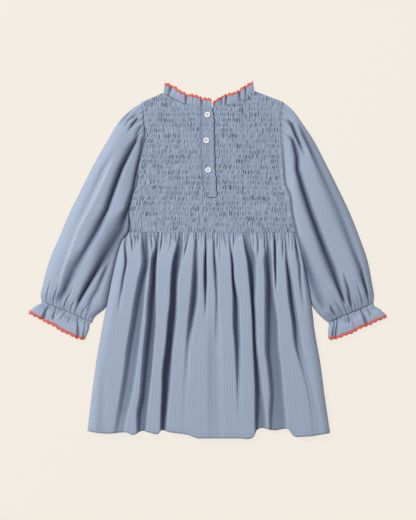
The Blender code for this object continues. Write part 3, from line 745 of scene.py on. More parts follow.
# Gathers: x at the waist seam, x at its end, length, depth
GATHERS = (
    (-134, -132, 32, 0.50), (-127, -122, 38, 0.80), (-120, -118, 32, 0.35), (-114, -115, 23, 0.45),
    (-108, -104, 38, 0.80), (-101, -99, 48, 0.75), (-94, -89, 38, 0.60), (-87, -83, 28, 0.70),
    (-80, -82, 25, 0.90), (-74, -78, 40, 0.70), (-68, -70, 22, 0.30), (-65, -67, 28, 0.25),
    (-59, -62, 35, 0.35), (-52, -48, 28, 0.60), (-47, -44, 32, 0.60), (-41, -43, 32, 0.60),
    (-30, -39, 48, 0.65), (-18, -18, 37, 0.75), (-9, -8, 25, 0.25), (-3, -2, 28, 0.50),
    (2, 2, 20, 0.30), (12, 12, 37, 0.55), (18, 17, 35, 0.50), (22, 22, 58, 0.20),
    (27, 35, 32, 0.50), (36, 39, 32, 0.30), (45, 45, 32, 0.55), (59, 68, 38, 0.40),
    (64, 72, 48, 0.50), (70, 77, 48, 0.45), (77, 78, 38, 0.40), (85, 85, 48, 0.60),
    (95, 98, 42, 0.75), (99, 103, 48, 0.60), (104, 105, 28, 0.25), (112, 113, 48, 0.90),
    (118, 118, 28, 0.45), (125, 127, 52, 0.60), (130, 132, 38, 0.50), (136, 138, 38, 0.35),
    (141, 144, 40, 0.30), (146, 151, 58, 0.60),
)
GATHER_HALF_WIDTH = 1.15
GATHER_SHARE = 1.25         # of the table's depth
TUCK_PITCH = 3.4            # small tucks between the gathers
TUCK_DEPTH = 0.8

# y, lift of the ridges over the under panel
SKIRT_LIFT = (
    (45, 3.2), (30, 7.5), (5, 13.0), (-40, 15.5), (-120, 16.0), (-220, 14.0), (-298, 11.5),
)


@dataclass
class Skirt:
    """Gathered back panel over a flat front panel."""

    columns: int = 330
    rows: int = 118
    under_columns: int = 60
    under_rows: int = 60
    side_round: float = 15.0
    crowd: float = 1.5          # rows crowd towards the waist by this power
    cut_width: float = 0.600
    cut_length: float = 0.350

    def fields(self, x: Column, y: Column) -> tuple[Column, Column]:
        """Height and painted shade of the back panel at points of its plan."""
        left, right = sides(y)
        inward = np.clip(np.minimum(x - left, right - x), 0.0, self.side_round)
        rise = rounded(inward, self.side_round)
        kept = np.ones_like(x)
        for fold in SKIRT_FOLDS:
            kept *= 1 - fold.depth(x, y)
        fine = np.ones_like(x)
        below = WAIST_Y - y
        for start, end, length, deep in GATHERS:
            reach = np.clip(below / length, 0.0, 1.0)
            line = start + (end - start) * reach
            fade = soft_step((1 - below / length) * 1.6)
            width = GATHER_HALF_WIDTH * (0.85 + 0.6 * reach)
            fine *= 1 - min(GATHER_SHARE * deep, 1.0) * fade * bell(x - line, width)
        reach = 13.0 + 7.0 * np.sin(x * 0.31) + 5.0 * np.sin(x * 0.83 + 1.0)
        tuck = (0.5 + 0.5 * np.cos(2 * np.pi * x / TUCK_PITCH + 1.9 * np.sin(x * 0.21))) ** 3
        fine *= 1 - TUCK_DEPTH * tuck * soft_step((1 - below / reach) * 1.5)
        lift = smooth_read(SKIRT_LIFT, y)
        gathered = 0.3 + 0.7 * fine
        height = LOW + lift * (0.25 + 0.75 * rise) * kept * gathered
        height = np.where(inward > 0, height, LOW + 0.25 * lift * kept)
        # painted shade in the folds and gathers
        painted_shading = 0.9 * (1 - kept * (0.25 + 0.75 * fine))
        return height, painted_shading

    def across(self, columns: int) -> Column:
        """Distance along the hem's cloth at each column, folds included."""
        u = np.linspace(0, 1, columns + 1)
        y = np.full(u.shape, ABOVE_HEM_Y)
        left, right = sides(y)
        x = left + u * (right - left)
        z, _ = self.fields(x, y)
        return np.concatenate(([0.0], np.cumsum(np.hypot(np.diff(x), np.diff(z)))))

    def back(self, room: Workroom) -> bpy.types.Object:
        """Make the gathered back panel."""
        reach = self.across(self.columns)

        def shape(u: Column, v: Column) -> Laid:
            """Back panel from the waist seam down to the hem."""
            top = WAIST_Y + JOIN
            share = v**self.crowd
            low_left, low_right = sides(np.full(u.shape, HEM_LEVEL_Y))
            hem = smooth_read(HEM_LINE, low_left + u * (low_right - low_left))
            y = top + share * (hem - top)
            left, right = sides(y)
            x = left + u * (right - left)
            z, painted_shading = self.fields(x, y)
            across = np.interp(u, np.linspace(0, 1, len(reach)), reach)
            return Laid(x, y, z, across, (1 - share) * (top - hem), painted_shading)

        bm = room.lay(self.columns, self.rows, shape)
        piece = room.finish(bm, "skirt_back_cloth", "chambray", Slot.CHAMBRAY, ["skirt_back"], CLOTH)
        return piece

    def front(self, room: Workroom) -> bpy.types.Object:
        """Make the front panel, which lies underneath with shallow creases."""

        def shape(u: Column, v: Column) -> Laid:
            """Front panel from the hem up to the waist seam."""
            y = FRONT_HEM_Y + v * (WAIST_Y - 0.5 * SEAM - FRONT_HEM_Y)
            left, right = sides(y)
            x = left + u * (right - left)
            crease = np.zeros_like(x)
            for number, place in enumerate((0.08, 0.17, 0.29, 0.36, 0.47, 0.58, 0.66, 0.79, 0.9)):
                line = place + 0.012 * np.sin(v * 3.0 + number)
                deep = 0.35 + 0.25 * math.sin(number * 2.1)
                crease = np.maximum(crease, deep * bell((u - line) * 340, 4.0 + number % 3))
            rim = off_rim(u, v, 30)
            # painted shade along the shallow creases
            return Laid(x, y, 0.5 * CLOTH + crease * rim, x + 210, y + 279, 0.3 * crease)

        bm = room.lay(self.under_columns, self.under_rows, shape)
        piece = room.finish(
            bm, "skirt_front_cloth", "chambray", Slot.CHAMBRAY, ["skirt_front"], CLOTH)
        return piece

    def hem_stitches(self, room: Workroom) -> bpy.types.Object:
        """Sew the hem, a row of small stitches above the edge."""
        x = np.linspace(-192.0, 199.0, 260)
        y = smooth_read(HEM_LINE, x) + HEM_STITCHES_UP
        left, right = sides(y)
        x = np.clip(x, left + 2, right - 2)
        z, _ = self.fields(x, y)
        line = [room.layout.point(*p) for p in zip(x, y, z + 0.5 * CLOTH)]
        return room.stitches("hem_stitches", "blue_thread", Slot.CHAMBRAY, [line], 2.0, 2.8, 0.22)

    def build(self, room: Workroom) -> list[bpy.types.Object]:
        """Make the whole skirt."""
        return [self.front(room), self.back(room), self.hem_stitches(room)]


# Bodice

@dataclass(frozen=True)
class Crease:
    """A short dark crease between two puckers of one smocked row."""

    place: float        # share of the panel's width
    depth: float
    half_width: float   # millimetres
    slant: float        # millimetres from the row's foot to its top
    start: float        # share of the row
    end: float
    level: float        # height of the pucker to its right


@dataclass
class Bodice:
    """Elastic-smocked back panel over a plain front panel."""

    row_pitch: float = 8.7
    smocked_rows: int = 28
    half_columns: int = 196
    grid_rows: int = 214
    pucker: float = 2.7
    creases_each: int = 82
    spread: float = 3.4         # width of the slit's column where it has ended
    slit_width: float = 0.7
    slit_fade: float = 16.0
    plain_margin: float = 0.3
    side_round: float = 4.0
    # painted shade in the creases, between the rows and along the slit; painted highlight on the puckers
    crease_shade: float = 1.1
    valley_shade: float = 0.14
    slit_shade: float = 0.95
    slit_half_width: float = 1.15
    slit_offset: float = 2.0
    ridge_light: float = 0.9
    drawn_across: float = 1.9   # flat cloth for each millimetre that the elastic leaves
    drawn_along: float = 1.1
    front_columns: int = 232
    front_rows: int = 96
    faint_rows: int = 24
    faint_ribs: int = 58
    seed: int = 11
    creases: list[list[Crease]] = field(default_factory=list)

    def __post_init__(self) -> None:
        """Let each row's creases grow out of those of the row below."""
        draw = random.Random(self.seed)
        pitch = 1.0 / self.creases_each
        places = [(n + draw.uniform(-0.3, 0.3)) * pitch for n in range(self.creases_each + 1)]
        for _ in range(self.smocked_rows):
            moved = sorted(place + draw.gauss(0.0, 0.30) * pitch for place in places)
            kept = [moved[0]]
            for place in moved[1:]:
                if place - kept[-1] > 0.50 * pitch:
                    kept.append(place)
            filled = list(kept)
            for a, b in zip(kept, kept[1:]):
                if b - a > 1.6 * pitch:
                    filled.append(0.5 * (a + b) + draw.gauss(0.0, 0.1) * pitch)
            places = sorted(filled)
            phase = draw.uniform(0.0, 6.3)
            self.creases.append([self.draw_crease(draw, place, phase) for place in places])

    @staticmethod
    def draw_crease(draw: random.Random, place: float, phase: float) -> Crease:
        """Draw one crease, deeper where the row's puckers cluster."""
        cluster = 0.72 + 0.28 * math.sin(phase + 19.0 * place) * math.sin(2 * phase + 7.0 * place)
        depth = cluster * draw.choice((0.3, 0.5, 0.65, 0.85, 1.0, 1.1))
        return Crease(place, depth, draw.uniform(0.58, 0.92), draw.gauss(0.0, 1.0),
                      draw.uniform(-0.20, 0.20), draw.uniform(0.80, 1.20), draw.uniform(0.5, 1.0))

    def plan(self, u: Column, v: Column) -> tuple[Column, Column]:
        """Plan points of the back panel, parted by the slit."""
        left_top, right_top = sides(np.array([SHOULDER_Y]))
        top = back_top(left_top + u * (right_top - left_top))
        foot = WAIST_Y + JOIN
        y = foot + v * (top - foot)
        left, right = sides(y)
        slit = smooth_read(SLIT_LINE, y)
        spread = soft_step((SLIT_END_Y - y) / self.slit_fade)
        gap = 0.5 * (self.slit_width + spread * (self.spread - self.slit_width))
        middle = self.half_columns / (2 * self.half_columns + 1)
        lower = left + u / middle * (slit - gap - left)
        share = (u - 1 + middle) / middle
        upper = slit + gap + share * (right - slit - gap)
        return np.where(u <= middle + 1e-6, lower, upper), y

    def crease_field(self, x: Column, y: Column) -> tuple[Column, Column]:
        """Creases and height of the puckers at each point, both from 0 to 1."""
        left, right = sides(y)
        wander = 0.9 * np.sin(x / 21.0 + y / 47.0) + 0.5 * np.sin(x / 8.3 + y / 19.0 + 1.3)
        place = np.clip((y - WAIST_Y + wander) / self.row_pitch, 0.0, self.smocked_rows - 0.001)
        row = place.astype(int)
        within = place - row
        crease = np.zeros_like(x)
        level = np.ones_like(x)
        window = soft_step(within / 0.3) * soft_step((1 - within) / 0.3)
        for number, drawn in enumerate(self.creases):
            here = np.nonzero(row == number)[0]
            if not len(here):
                continue
            inside, width = within[here], right[here] - left[here]
            share = (x[here] - left[here]) / width
            levels = np.array([0.8] + [one.level for one in drawn])
            cell = np.searchsorted([one.place for one in drawn], share)
            level[here] = 1 - (1 - levels[cell]) * window[here]
            for one in drawn:
                line = left[here] + one.place * width + one.slant * (inside - 0.5)
                reach = soft_step((inside - one.start) / 0.2) * soft_step((one.end - inside) / 0.2)
                dip = one.depth * reach * bell(x[here] - line, one.half_width)
                crease[here] = np.maximum(crease[here], dip)
        puff = 0.62 + 0.38 * np.sin(np.pi * within) ** 0.7
        return crease, puff * level

    def plain(self, x: Column, y: Column) -> Column:
        """1 where the panel is smocked, 0 under and beside the placket."""
        left = smooth_read(BAND_LEFT, y) - self.plain_margin
        right = smooth_read(SLIT_LINE, y) + self.plain_margin
        out = np.maximum(np.maximum(left - x, x - right), SLIT_END_Y - y)
        return soft_step(out / 4.0)

    def back(self, room: Workroom) -> bpy.types.Object:
        """Make the smocked back panel."""
        columns = 2 * self.half_columns + 1

        def shape(u: Column, v: Column) -> Laid:
            """Back panel from the waist seam up, smocked in its upper face."""
            x, y = self.plan(u, v)
            crease, puff = self.crease_field(x, y)
            smocked = self.plain(x, y)
            left, right = sides(y)
            inward = np.clip(np.minimum(x - left, right - x), 0.0, self.side_round)
            side = 0.35 + 0.65 * rounded(inward, self.side_round)
            relief = self.pucker * puff * (1 - 0.95 * crease) * smocked
            z = BACK_INSIDE + (BACK_FACE - BACK_INSIDE + relief) * side
            # painted shade in the creases and between the smocked rows
            painted_shading = (self.crease_shade * crease + self.valley_shade * (1 - puff)) * smocked
            slit = smooth_read(SLIT_LINE, y) + self.slit_offset
            slit = slit + 0.5 * np.sin(y / 1.9) + 0.4 * np.sin(y / 5.1)
            open_part = soft_step((y - SLIT_END_Y) / 5.0)
            # dark line beside the slit: the cloth dips there, and a painted shadow darkens it
            dark = bell(x - slit, self.slit_half_width) * open_part
            z = z - 1.6 * dark * (z - BACK_INSIDE > 2.0)
            # painted highlight on the highest puckers
            lit = self.ridge_light * np.clip(puff - 0.8, 0, 1) * smocked
            painted_shading = np.maximum(painted_shading, self.slit_shade * dark) - lit
            across = (x - left) * self.drawn_across
            along = PAST_HEM + (y - WAIST_Y) * self.drawn_along
            return Laid(x, y, z, across, along, painted_shading)

        bm = room.lay(columns, self.grid_rows, shape)
        self.open_slit(bm, room.layout)
        self.close_below(bm, BACK_INSIDE)
        piece = room.finish(bm, "bodice_back_cloth", "smocked", Slot.CHAMBRAY, ["bodice_back"])
        return piece

    def open_slit(self, bm: bmesh.types.BMesh, layout: Layout) -> None:
        """Cut the slit's column open above its end."""
        centres = np.array([face.calc_center_median()[:2] for face in bm.faces]) / MM
        x, y = centres[:, 0] - layout.x, centres[:, 1] - layout.y
        near = np.abs(x - smooth_read(SLIT_LINE, y)) < 0.42 * self.slit_width
        cut = near & (y > SLIT_END_Y)
        faces = [face for face, gone in zip(bm.faces, cut.tolist()) if gone]
        bmesh.ops.delete(bm, geom=faces, context="FACES")

    @staticmethod
    def close_below(bm: bmesh.types.BMesh, inside_z: float) -> None:
        """Close the panel with straight sides and a plain inside."""
        rim = [edge for edge in bm.edges if edge.is_boundary]
        made = bmesh.ops.extrude_edge_only(bm, edges=rim)["geom"]
        for item in made:
            if isinstance(item, bmesh.types.BMVert):
                item.co.z = inside_z * MM
        loop = [e for e in made if isinstance(e, bmesh.types.BMEdge) and e.is_boundary]
        bmesh.ops.contextual_create(bm, geom=loop)
        bmesh.ops.recalc_face_normals(bm, faces=bm.faces)

    def front(self, room: Workroom) -> bpy.types.Object:
        """Make the front panel, which lies underneath."""

        def shape(u: Column, v: Column) -> Laid:
            """Front panel from the waist seam up to its lower neckline."""
            left_top, right_top = sides(np.array([SHOULDER_Y]))
            top = front_top(left_top + u * (right_top - left_top))
            y = WAIST_Y + 0.5 * SEAM + v * (top - WAIST_Y - 0.5 * SEAM)
            left, right = sides(y)
            x = left + u * (right - left)
            rows = 0.25 * (0.5 - 0.5 * np.cos(2 * np.pi * self.faint_rows * v))
            ribs = 0.5 - 0.5 * np.cos(2 * np.pi * self.faint_ribs * u + 1.7 * np.sin(9 * v))
            rim = off_rim(u, v, 40)
            lift = 0.5 * CLOTH + rim * rows * ribs
            across = (x - left) * self.drawn_across
            # painted shade in the faint rows
            return Laid(x, y, lift, across, PAST_HEM + y - WAIST_Y, 0.2 * rows)

        bm = room.lay(self.front_columns, self.front_rows, shape)
        piece = room.finish(bm, "bodice_front_cloth", "smocked", Slot.CHAMBRAY, ["bodice_front"], 0.8)
        return piece

    def build(self, room: Workroom) -> list[bpy.types.Object]:
        """Make the whole bodice."""
        return [self.front(room), self.back(room)]


# Placket and buttons

@dataclass
class Placket:
    """Band that laps the slit, with its stitching and three buttons."""

    bodice: Bodice
    wall: float = 1.1
    lap: float = 1.2
    columns: int = 36
    rows: int = 190
    radius: float = 4.6
    thick: float = 2.2
    dish: float = 0.6
    hole_radius: float = 0.7
    hole_offset: float = 1.15
    profile_steps: int = 40
    stitched_at: float = 0.90   # share of the band's width
    thread_radius: float = 0.26
    thread_lane: float = 0.28

    @property
    def bottom(self) -> float:
        """Height of the band's under side."""
        return BACK_FACE + LAYER_GAP

    @property
    def seat(self) -> float:
        """Height at which the buttons sit."""
        return self.bottom + self.wall + 0.6 + LAYER_GAP

    def band_plan(self, u: Column, v: Column) -> tuple[Column, Column]:
        """Plan points of the band."""
        top = float(back_top(np.array([0.0]))[0]) - 1.0
        y = SLIT_END_Y + v * (top - SLIT_END_Y)
        left = smooth_read(BAND_LEFT, y)
        right = smooth_read(SLIT_LINE, y) + self.lap
        return left + u * (right - left), y

    def band(self, room: Workroom) -> bpy.types.Object:
        """Make the band, puckered a little by the elastic that ends in it."""

        def shape(u: Column, v: Column) -> Laid:
            """Band from the slit's end up to the neck."""
            x, y = self.band_plan(u, v)
            crease, puff = self.bodice.crease_field(x, y)
            drawn = 0.4 + 0.6 * soft_step(1.6 - 2.2 * u)
            rolled = rounded((1 - u) * 18.0, 1.6)
            stitched = bell(u - self.stitched_at, 0.03) + 0.4 * bell(u - 0.10, 0.03)
            relief = (0.5 + 1.1 * drawn * puff * (1 - crease)) * (0.3 + 0.7 * rolled)
            wavy = 0.45 * np.sin(y / 1.9) + 0.35 * np.sin(y / 5.1)
            x = x + wavy * bell(u - 1.0, 0.25)
            z = self.bottom + 0.3 + self.wall * (0.35 + 0.65 * rolled) + relief - 0.2 * stitched
            # painted shade in the creases and along the stitch lines, where the cloth also dips
            painted_shading = 0.22 * stitched + (0.95 * crease + 0.14 * (1 - puff)) * drawn
            return Laid(x, y, z, 180 + x, 60 + y, painted_shading)

        bm = room.lay(self.columns, self.rows, shape)
        Bodice.close_below(bm, self.bottom)
        piece = room.finish(bm, "placket_cloth", "smocked", Slot.CHAMBRAY, ["placket_band"])
        return piece

    def stitching(self, room: Workroom) -> bpy.types.Object:
        """Topstitch the band beside the slit."""
        v = np.linspace(0.02, 0.99, 60)
        x, y = self.band_plan(np.full(v.shape, self.stitched_at), v)
        height = self.bottom + 0.8 + self.wall - 0.1
        line = [room.layout.point(a, b, height) for a, b in zip(x, y)]
        return room.stitches(
            "placket_stitches", "blue_thread", Slot.CHAMBRAY, [line], 1.7, 2.4, 0.2)

    def button(self, room: Workroom, number: int, x: float, y: float) -> bpy.types.Object:
        """Make a dished four-hole button by turning its profile."""
        bottom = self.seat
        radius, thick = self.radius, self.thick
        profile = (
            (0.0, thick - self.dish), (0.50 * radius, thick - self.dish),
            (0.60 * radius, thick - 0.86 * self.dish), (0.68 * radius, thick - 0.35 * self.dish),
            (0.75 * radius, thick), (0.86 * radius, thick), (0.95 * radius, 0.88 * thick),
            (radius, 0.62 * thick), (0.97 * radius, 0.25 * thick), (0.88 * radius, 0.0),
            (0.0, 0.0),
        )
        bm = bmesh.new()
        verts = [bm.verts.new(Vector((r, 0.0, h)) * MM) for r, h in profile]
        edges = [bm.edges.new(pair) for pair in zip(verts, verts[1:])]
        bmesh.ops.spin(bm, geom=verts + edges, cent=(0, 0, 0), axis=(0, 0, 1),
                       angle=2 * math.pi, steps=self.profile_steps, use_merge=True)
        bmesh.ops.remove_doubles(bm, verts=bm.verts, dist=0.005 * MM)
        bmesh.ops.recalc_face_normals(bm, faces=bm.faces)
        bmesh.ops.translate(bm, verts=bm.verts, vec=room.layout.point(x, y, bottom))
        name = f"button_{number}_moulded"
        piece = room.finish(bm, name, "button", Slot.BUTTON, [f"button_{number}"])
        self.bore(piece, room, x, y, bottom)
        return piece

    def bore(self, piece: bpy.types.Object, room: Workroom, x: float, y: float, z: float) -> None:
        """Bore the four thread holes and apply the cut."""
        bm = bmesh.new()
        for side_x in (-1, 1):
            for side_y in (-1, 1):
                made = bmesh.ops.create_cone(
                    bm, cap_ends=True, segments=14, radius1=self.hole_radius * MM,
                    radius2=self.hole_radius * MM, depth=3 * self.thick * MM)
                place = room.layout.point(
                    x + side_x * self.hole_offset, y + side_y * self.hole_offset, z)
                bmesh.ops.translate(bm, verts=made["verts"], vec=place)
        mesh = bpy.data.meshes.new("drill")
        bm.to_mesh(mesh)
        bm.free()
        drill = bpy.data.objects.new("drill", mesh)
        bpy.context.scene.collection.objects.link(drill)
        cut = piece.modifiers.new("Holes", "BOOLEAN")
        cut.operation = "DIFFERENCE"
        cut.solver = "EXACT"
        cut.object = drill
        bpy.context.view_layer.update()
        shape = piece.evaluated_get(bpy.context.evaluated_depsgraph_get())
        bored = bpy.data.meshes.new_from_object(shape)
        piece.modifiers.clear()
        piece.data = bored
        bored.set_sharp_from_angle(angle=math.radians(40))
        bpy.data.objects.remove(drill)

    def thread(self, room: Workroom, number: int, x: float, y: float) -> bpy.types.Object:
        """Sew the button on with a cross of thread sunk in its holes."""
        top = self.seat + self.thick - self.dish
        bm = bmesh.new()
        for turn in (math.pi / 4, -math.pi / 4):
            for lane in (-self.thread_lane, self.thread_lane):
                made = bmesh.ops.create_cone(
                    bm, cap_ends=True, segments=8, radius1=self.thread_radius * MM,
                    radius2=self.thread_radius * MM,
                    depth=2 * math.sqrt(2) * self.hole_offset * MM)
                flat = Vector((0, 0, 1)).rotation_difference(Vector((1, 0, 0))).to_matrix()
                bmesh.ops.rotate(bm, verts=made["verts"], cent=(0, 0, 0), matrix=flat)
                bmesh.ops.translate(bm, verts=made["verts"], vec=(0, lane * MM, 0))
                spin = Vector((1, 0, 0)).rotation_difference(
                    Vector((math.cos(turn), math.sin(turn), 0))).to_matrix()
                bmesh.ops.rotate(bm, verts=made["verts"], cent=(0, 0, 0), matrix=spin)
                bmesh.ops.translate(bm, verts=made["verts"], vec=room.layout.point(x, y, top + 0.1))
        return room.finish(bm, f"button_{number}_thread", "grey_thread", Slot.BUTTON)

    def build(self, room: Workroom) -> list[bpy.types.Object]:
        """Make the band, its stitching and the buttons."""
        made = [self.band(room), self.stitching(room)]
        for number, (x, y) in enumerate(BUTTONS, start=1):
            made.append(self.button(room, number, x, y))
            made.append(self.thread(room, number, x, y))
        return made


# Sleeves

@dataclass(frozen=True)
class Trough:
    """A fold down a sleeve.

    Rows run from the shoulder to the cuff: x, y, the share of the lift that is lost
    there, and the half widths to the left and the right in the picture. A share below
    0 is a ridge.
    """

    rows: Table

    def depth(self, x: Column, y: Column) -> Column:
        """Share of the lift that is lost at each point."""
        points = [row[:2] for row in self.rows]
        distance, share = beside_path(points, x, y)
        steps = [math.dist(p, q) for p, q in zip(points, points[1:])]
        done = np.concatenate(([0.0], np.cumsum(steps))) / sum(steps)
        deep, left, right = (
            line_read([(key, row[k]) for key, row in zip(done, self.rows)], share)
            for k in (2, 3, 4))
        half = np.where(distance > 0, left, right)
        fade = soft_step(share * 14) * soft_step((1 - share) * 14)
        return deep * fade * np.exp(-((np.abs(distance) / half) ** 1.5))


# x, y down the outer edge of a sleeve
SLEEVE_OUTER = {
    Side.LEFT: (
        (-109, 262), (-127, 249), (-147, 229), (-165, 199), (-188, 159), (-208, 119),
        (-228, 79), (-245, 39), (-262, -1), (-273, -41), (-277, -61), (-275, -69),
    ),
    Side.RIGHT: (
        (128, 262), (142, 249), (157, 229), (177, 199), (198, 159), (218, 119), (237, 79),
        (253, 39), (267, -1), (275, -41), (278, -61), (277, -73),
    ),
}
SLEEVE_INNER_END = {
    Side.LEFT: ((-169, -80), (-188, -97), (-191, -104)),
    Side.RIGHT: ((176, -78), (193, -98), (201, -104)),
}
SLEEVE_CLEAR = -0.3
SIDE_STEP = 8.0
INNER_EDGE_LEAVES_Y = -72.0

# share of the length, lift of the top over the under side
SLEEVE_LIFT = (
    (0.0, 4.0), (0.08, 8.0), (0.22, 13.0), (0.5, 16.0), (0.8, 16.0), (0.93, 11.0), (1.0, 3.4),
)

TROUGHS = {
    Side.LEFT: (
        Trough(((-109, 216, 0, 3, 2), (-113.7, 207.5, 0.75, 4, 2), (-118, 196, 0.95, 4, 2),
                (-125, 182.5, 0.95, 6, 2), (-141.7, 149, 0.95, 5.5, 2.5), (-154, 116, 0.88, 5, 3),
                (-165.5, 82.5, 0.78, 5, 3), (-181.7, 49, 0.7, 7, 4), (-200.8, 16, 0.55, 5, 4),
                (-220, -17.5, 0.5, 9, 6), (-235, -51, 0.65, 6, 4), (-245, -67.5, 0.5, 6, 4),
                (-252, -82, 0.2, 5, 4))),
        Trough(((-105, 215, 0.5, 2, 2), (-107, 196, 0.9, 3, 2.5), (-108, 182.5, 0.95, 3, 2),
                (-116.7, 149, 1, 2.5, 2), (-122.5, 116, 1, 3, 2), (-131.7, 82.5, 0.95, 4, 2.5),
                (-141.7, 49, 0.75, 13, 6), (-161.7, 16, 0.8, 11, 9), (-181.7, -17.5, 0.86, 6.5, 3.5),
                (-201.7, -51, 0.95, 4, 2.5), (-211.7, -67.5, 0.92, 2.5, 2.5),
                (-219, -86, 0.3, 2.5, 2.5))),
        Trough(((-156, 8, 0, 4, 4), (-168, -17.5, 0.45, 4, 4), (-181.7, -51, 0.32, 4, 4),
                (-191.7, -67.5, 0.3, 4, 4), (-199, -90, 0.3, 3, 3))),
        Trough(((-150, 180, 0, 3, 7), (-163, 149, -0.14, 3, 7), (-178, 116, -0.16, 3, 7),
                (-195, 82, -0.14, 3, 7), (-213, 49, -0.14, 3, 7), (-225, 16, -0.14, 3, 7),
                (-237, -17, -0.14, 3, 7), (-248, -51, -0.1, 3, 7), (-254, -68, 0, 3, 7))),
        Trough(((-150, 186, 0, 4, 3), (-173, 149, 0.14, 4, 3), (-188, 116, 0.08, 4, 3),
                (-205, 82, 0.05, 4, 3), (-222, 49, 0, 4, 3))),
        Trough(((-113, 246, 0, 1.8, 1.8), (-122, 238, 0.5, 1.8, 1.8), (-131, 231, 0.35, 1.8, 1.8),
                (-138, 219, 0, 1.8, 1.8))),
        Trough(((-113, 238, 0, 2, 1.6), (-117, 232, 0.8, 2, 1.6), (-123, 225, 0.8, 2, 1.6),
                (-129, 216, 0.2, 2, 1.6), (-133, 208, 0, 2, 1.6))),
        Trough(((-124, 250, 0, 1.7, 1.7), (-131, 242, 0.4, 1.7, 1.7), (-140, 232, 0.35, 1.7, 1.7),
                (-147, 222, 0, 1.7, 1.7))),
        Trough(((-107, 222, 0.3, 2, 1.5), (-111, 218, 0.6, 2, 1.5), (-115, 212, 0.5, 2, 1.5),
                (-118, 206, 0.3, 2, 1.5))),
    ),
    Side.RIGHT: (
        Trough(((129, 209, 0, 3, 2), (133, 206.5, 0.45, 3, 2), (138, 203.5, 0.7, 3, 2),
                (143, 198, 0.85, 3, 2), (147, 186, 0.9, 4, 2.5), (150.5, 170, 0.9, 4.5, 3),
                (151, 149, 0.93, 4, 3), (161, 116, 0.92, 5.5, 3), (171.7, 82.5, 0.88, 5.5, 3.5),
                (184, 49, 0.9, 5.5, 3.5), (196.5, 16, 0.9, 6, 3.5), (210, -17.5, 0.8, 7, 4),
                (220, -51, 0.85, 2.5, 3.5), (227.5, -67.5, 0.83, 2.5, 1.8), (232, -84, 0.3, 2, 2))),
        Trough(((131, 236, 0, 2, 2), (137, 229, 0.6, 2.2, 1.8), (141.7, 224, 0.97, 2.8, 2),
                (148, 207.5, 0.95, 2.8, 2), (153, 195, 0.85, 2, 2), (158, 182.5, 0.3, 2.5, 2.5),
                (164, 168, 0, 3, 3))),
        Trough(((148, 236, 0, 2, 3), (152, 228, 0.2, 2, 3), (161, 207, 0.6, 3, 4),
                (172, 182, 0.55, 2, 6), (188, 149, 0.38, 5, 6), (203, 116, 0.34, 7, 7),
                (218, 82, 0.32, 8, 7), (231, 49, 0.37, 7, 6), (243, 16, 0.38, 5, 5),
                (257, -17, 0.5, 6, 2), (265, -51, 0.95, 2, 1.6), (267.5, -64, 0.7, 2, 1.6),
                (269, -76, 0.2, 2, 2))),
        Trough(((226, -20, 0, 2, 2), (230, -35, 0.25, 2, 2), (235, -51, 0.5, 2, 2),
                (238, -67.5, 0.65, 2, 2), (241, -80, 0.3, 2, 2))),
        Trough(((205, -74, 0, 2, 2), (208, -84, 0.45, 2, 2), (214, -93, 0.3, 2, 2))),
        Trough(((150, 44, 0, 2, 3), (156, 26, 0.25, 3, 4), (161, 8, 0.55, 4, 5), (168, -17.5, 0.68, 7, 6),
                (180, -51, 0.42, 9, 9), (188, -67, 0.38, 7, 7), (198, -88, 0.1, 6, 6))),
    ),
}

# Gathers at the cuff: share across, half width as a share, depth, reach as a share
CUFF_GATHERS = (
    (0.06, 0.009, 0.4, 0.08), (0.11, 0.012, 0.75, 0.14), (0.19, 0.010, 0.4, 0.07),
    (0.24, 0.012, 0.8, 0.16), (0.31, 0.009, 0.35, 0.10), (0.38, 0.010, 0.6, 0.12),
    (0.45, 0.013, 0.85, 0.17), (0.50, 0.009, 0.4, 0.08), (0.57, 0.011, 0.65, 0.13),
    (0.66, 0.012, 0.8, 0.15), (0.71, 0.009, 0.35, 0.07), (0.78, 0.012, 0.7, 0.12),
    (0.87, 0.011, 0.6, 0.10), (0.94, 0.009, 0.4, 0.07),
)
# Gathers at the head of the sleeve, in the same columns
HEAD_GATHERS = (
    (0.06, 0.016, 0.45, 0.10), (0.12, 0.014, 0.5, 0.07), (0.19, 0.016, 0.6, 0.11),
    (0.26, 0.014, 0.5, 0.08), (0.34, 0.016, 0.5, 0.10), (0.42, 0.014, 0.4, 0.06),
    (0.52, 0.014, 0.35, 0.06),
)

# y, darkening of the sleeve beside the body
BODY_SHADE = {
    Side.LEFT: (
        (262, 0.10), (241, 0.42), (224, 0.72), (207, 0.80), (182, 0.90), (149, 1.00),
        (116, 0.97), (82, 0.90), (60, 0.50), (49, 0.40), (16, 0.35), (-17, 0.10),
        (-45, 0.45), (-67, 0.45), (-75, 0.20),
    ),
    Side.RIGHT: (
        (262, 0.10), (241, 0.15), (215, 0.30), (182, 0.65), (149, 0.95), (116, 0.85),
        (82, 0.97), (49, 0.95), (25, 0.90), (10, 0.50), (-10, 0.30), (-75, 0.20),
    ),
}


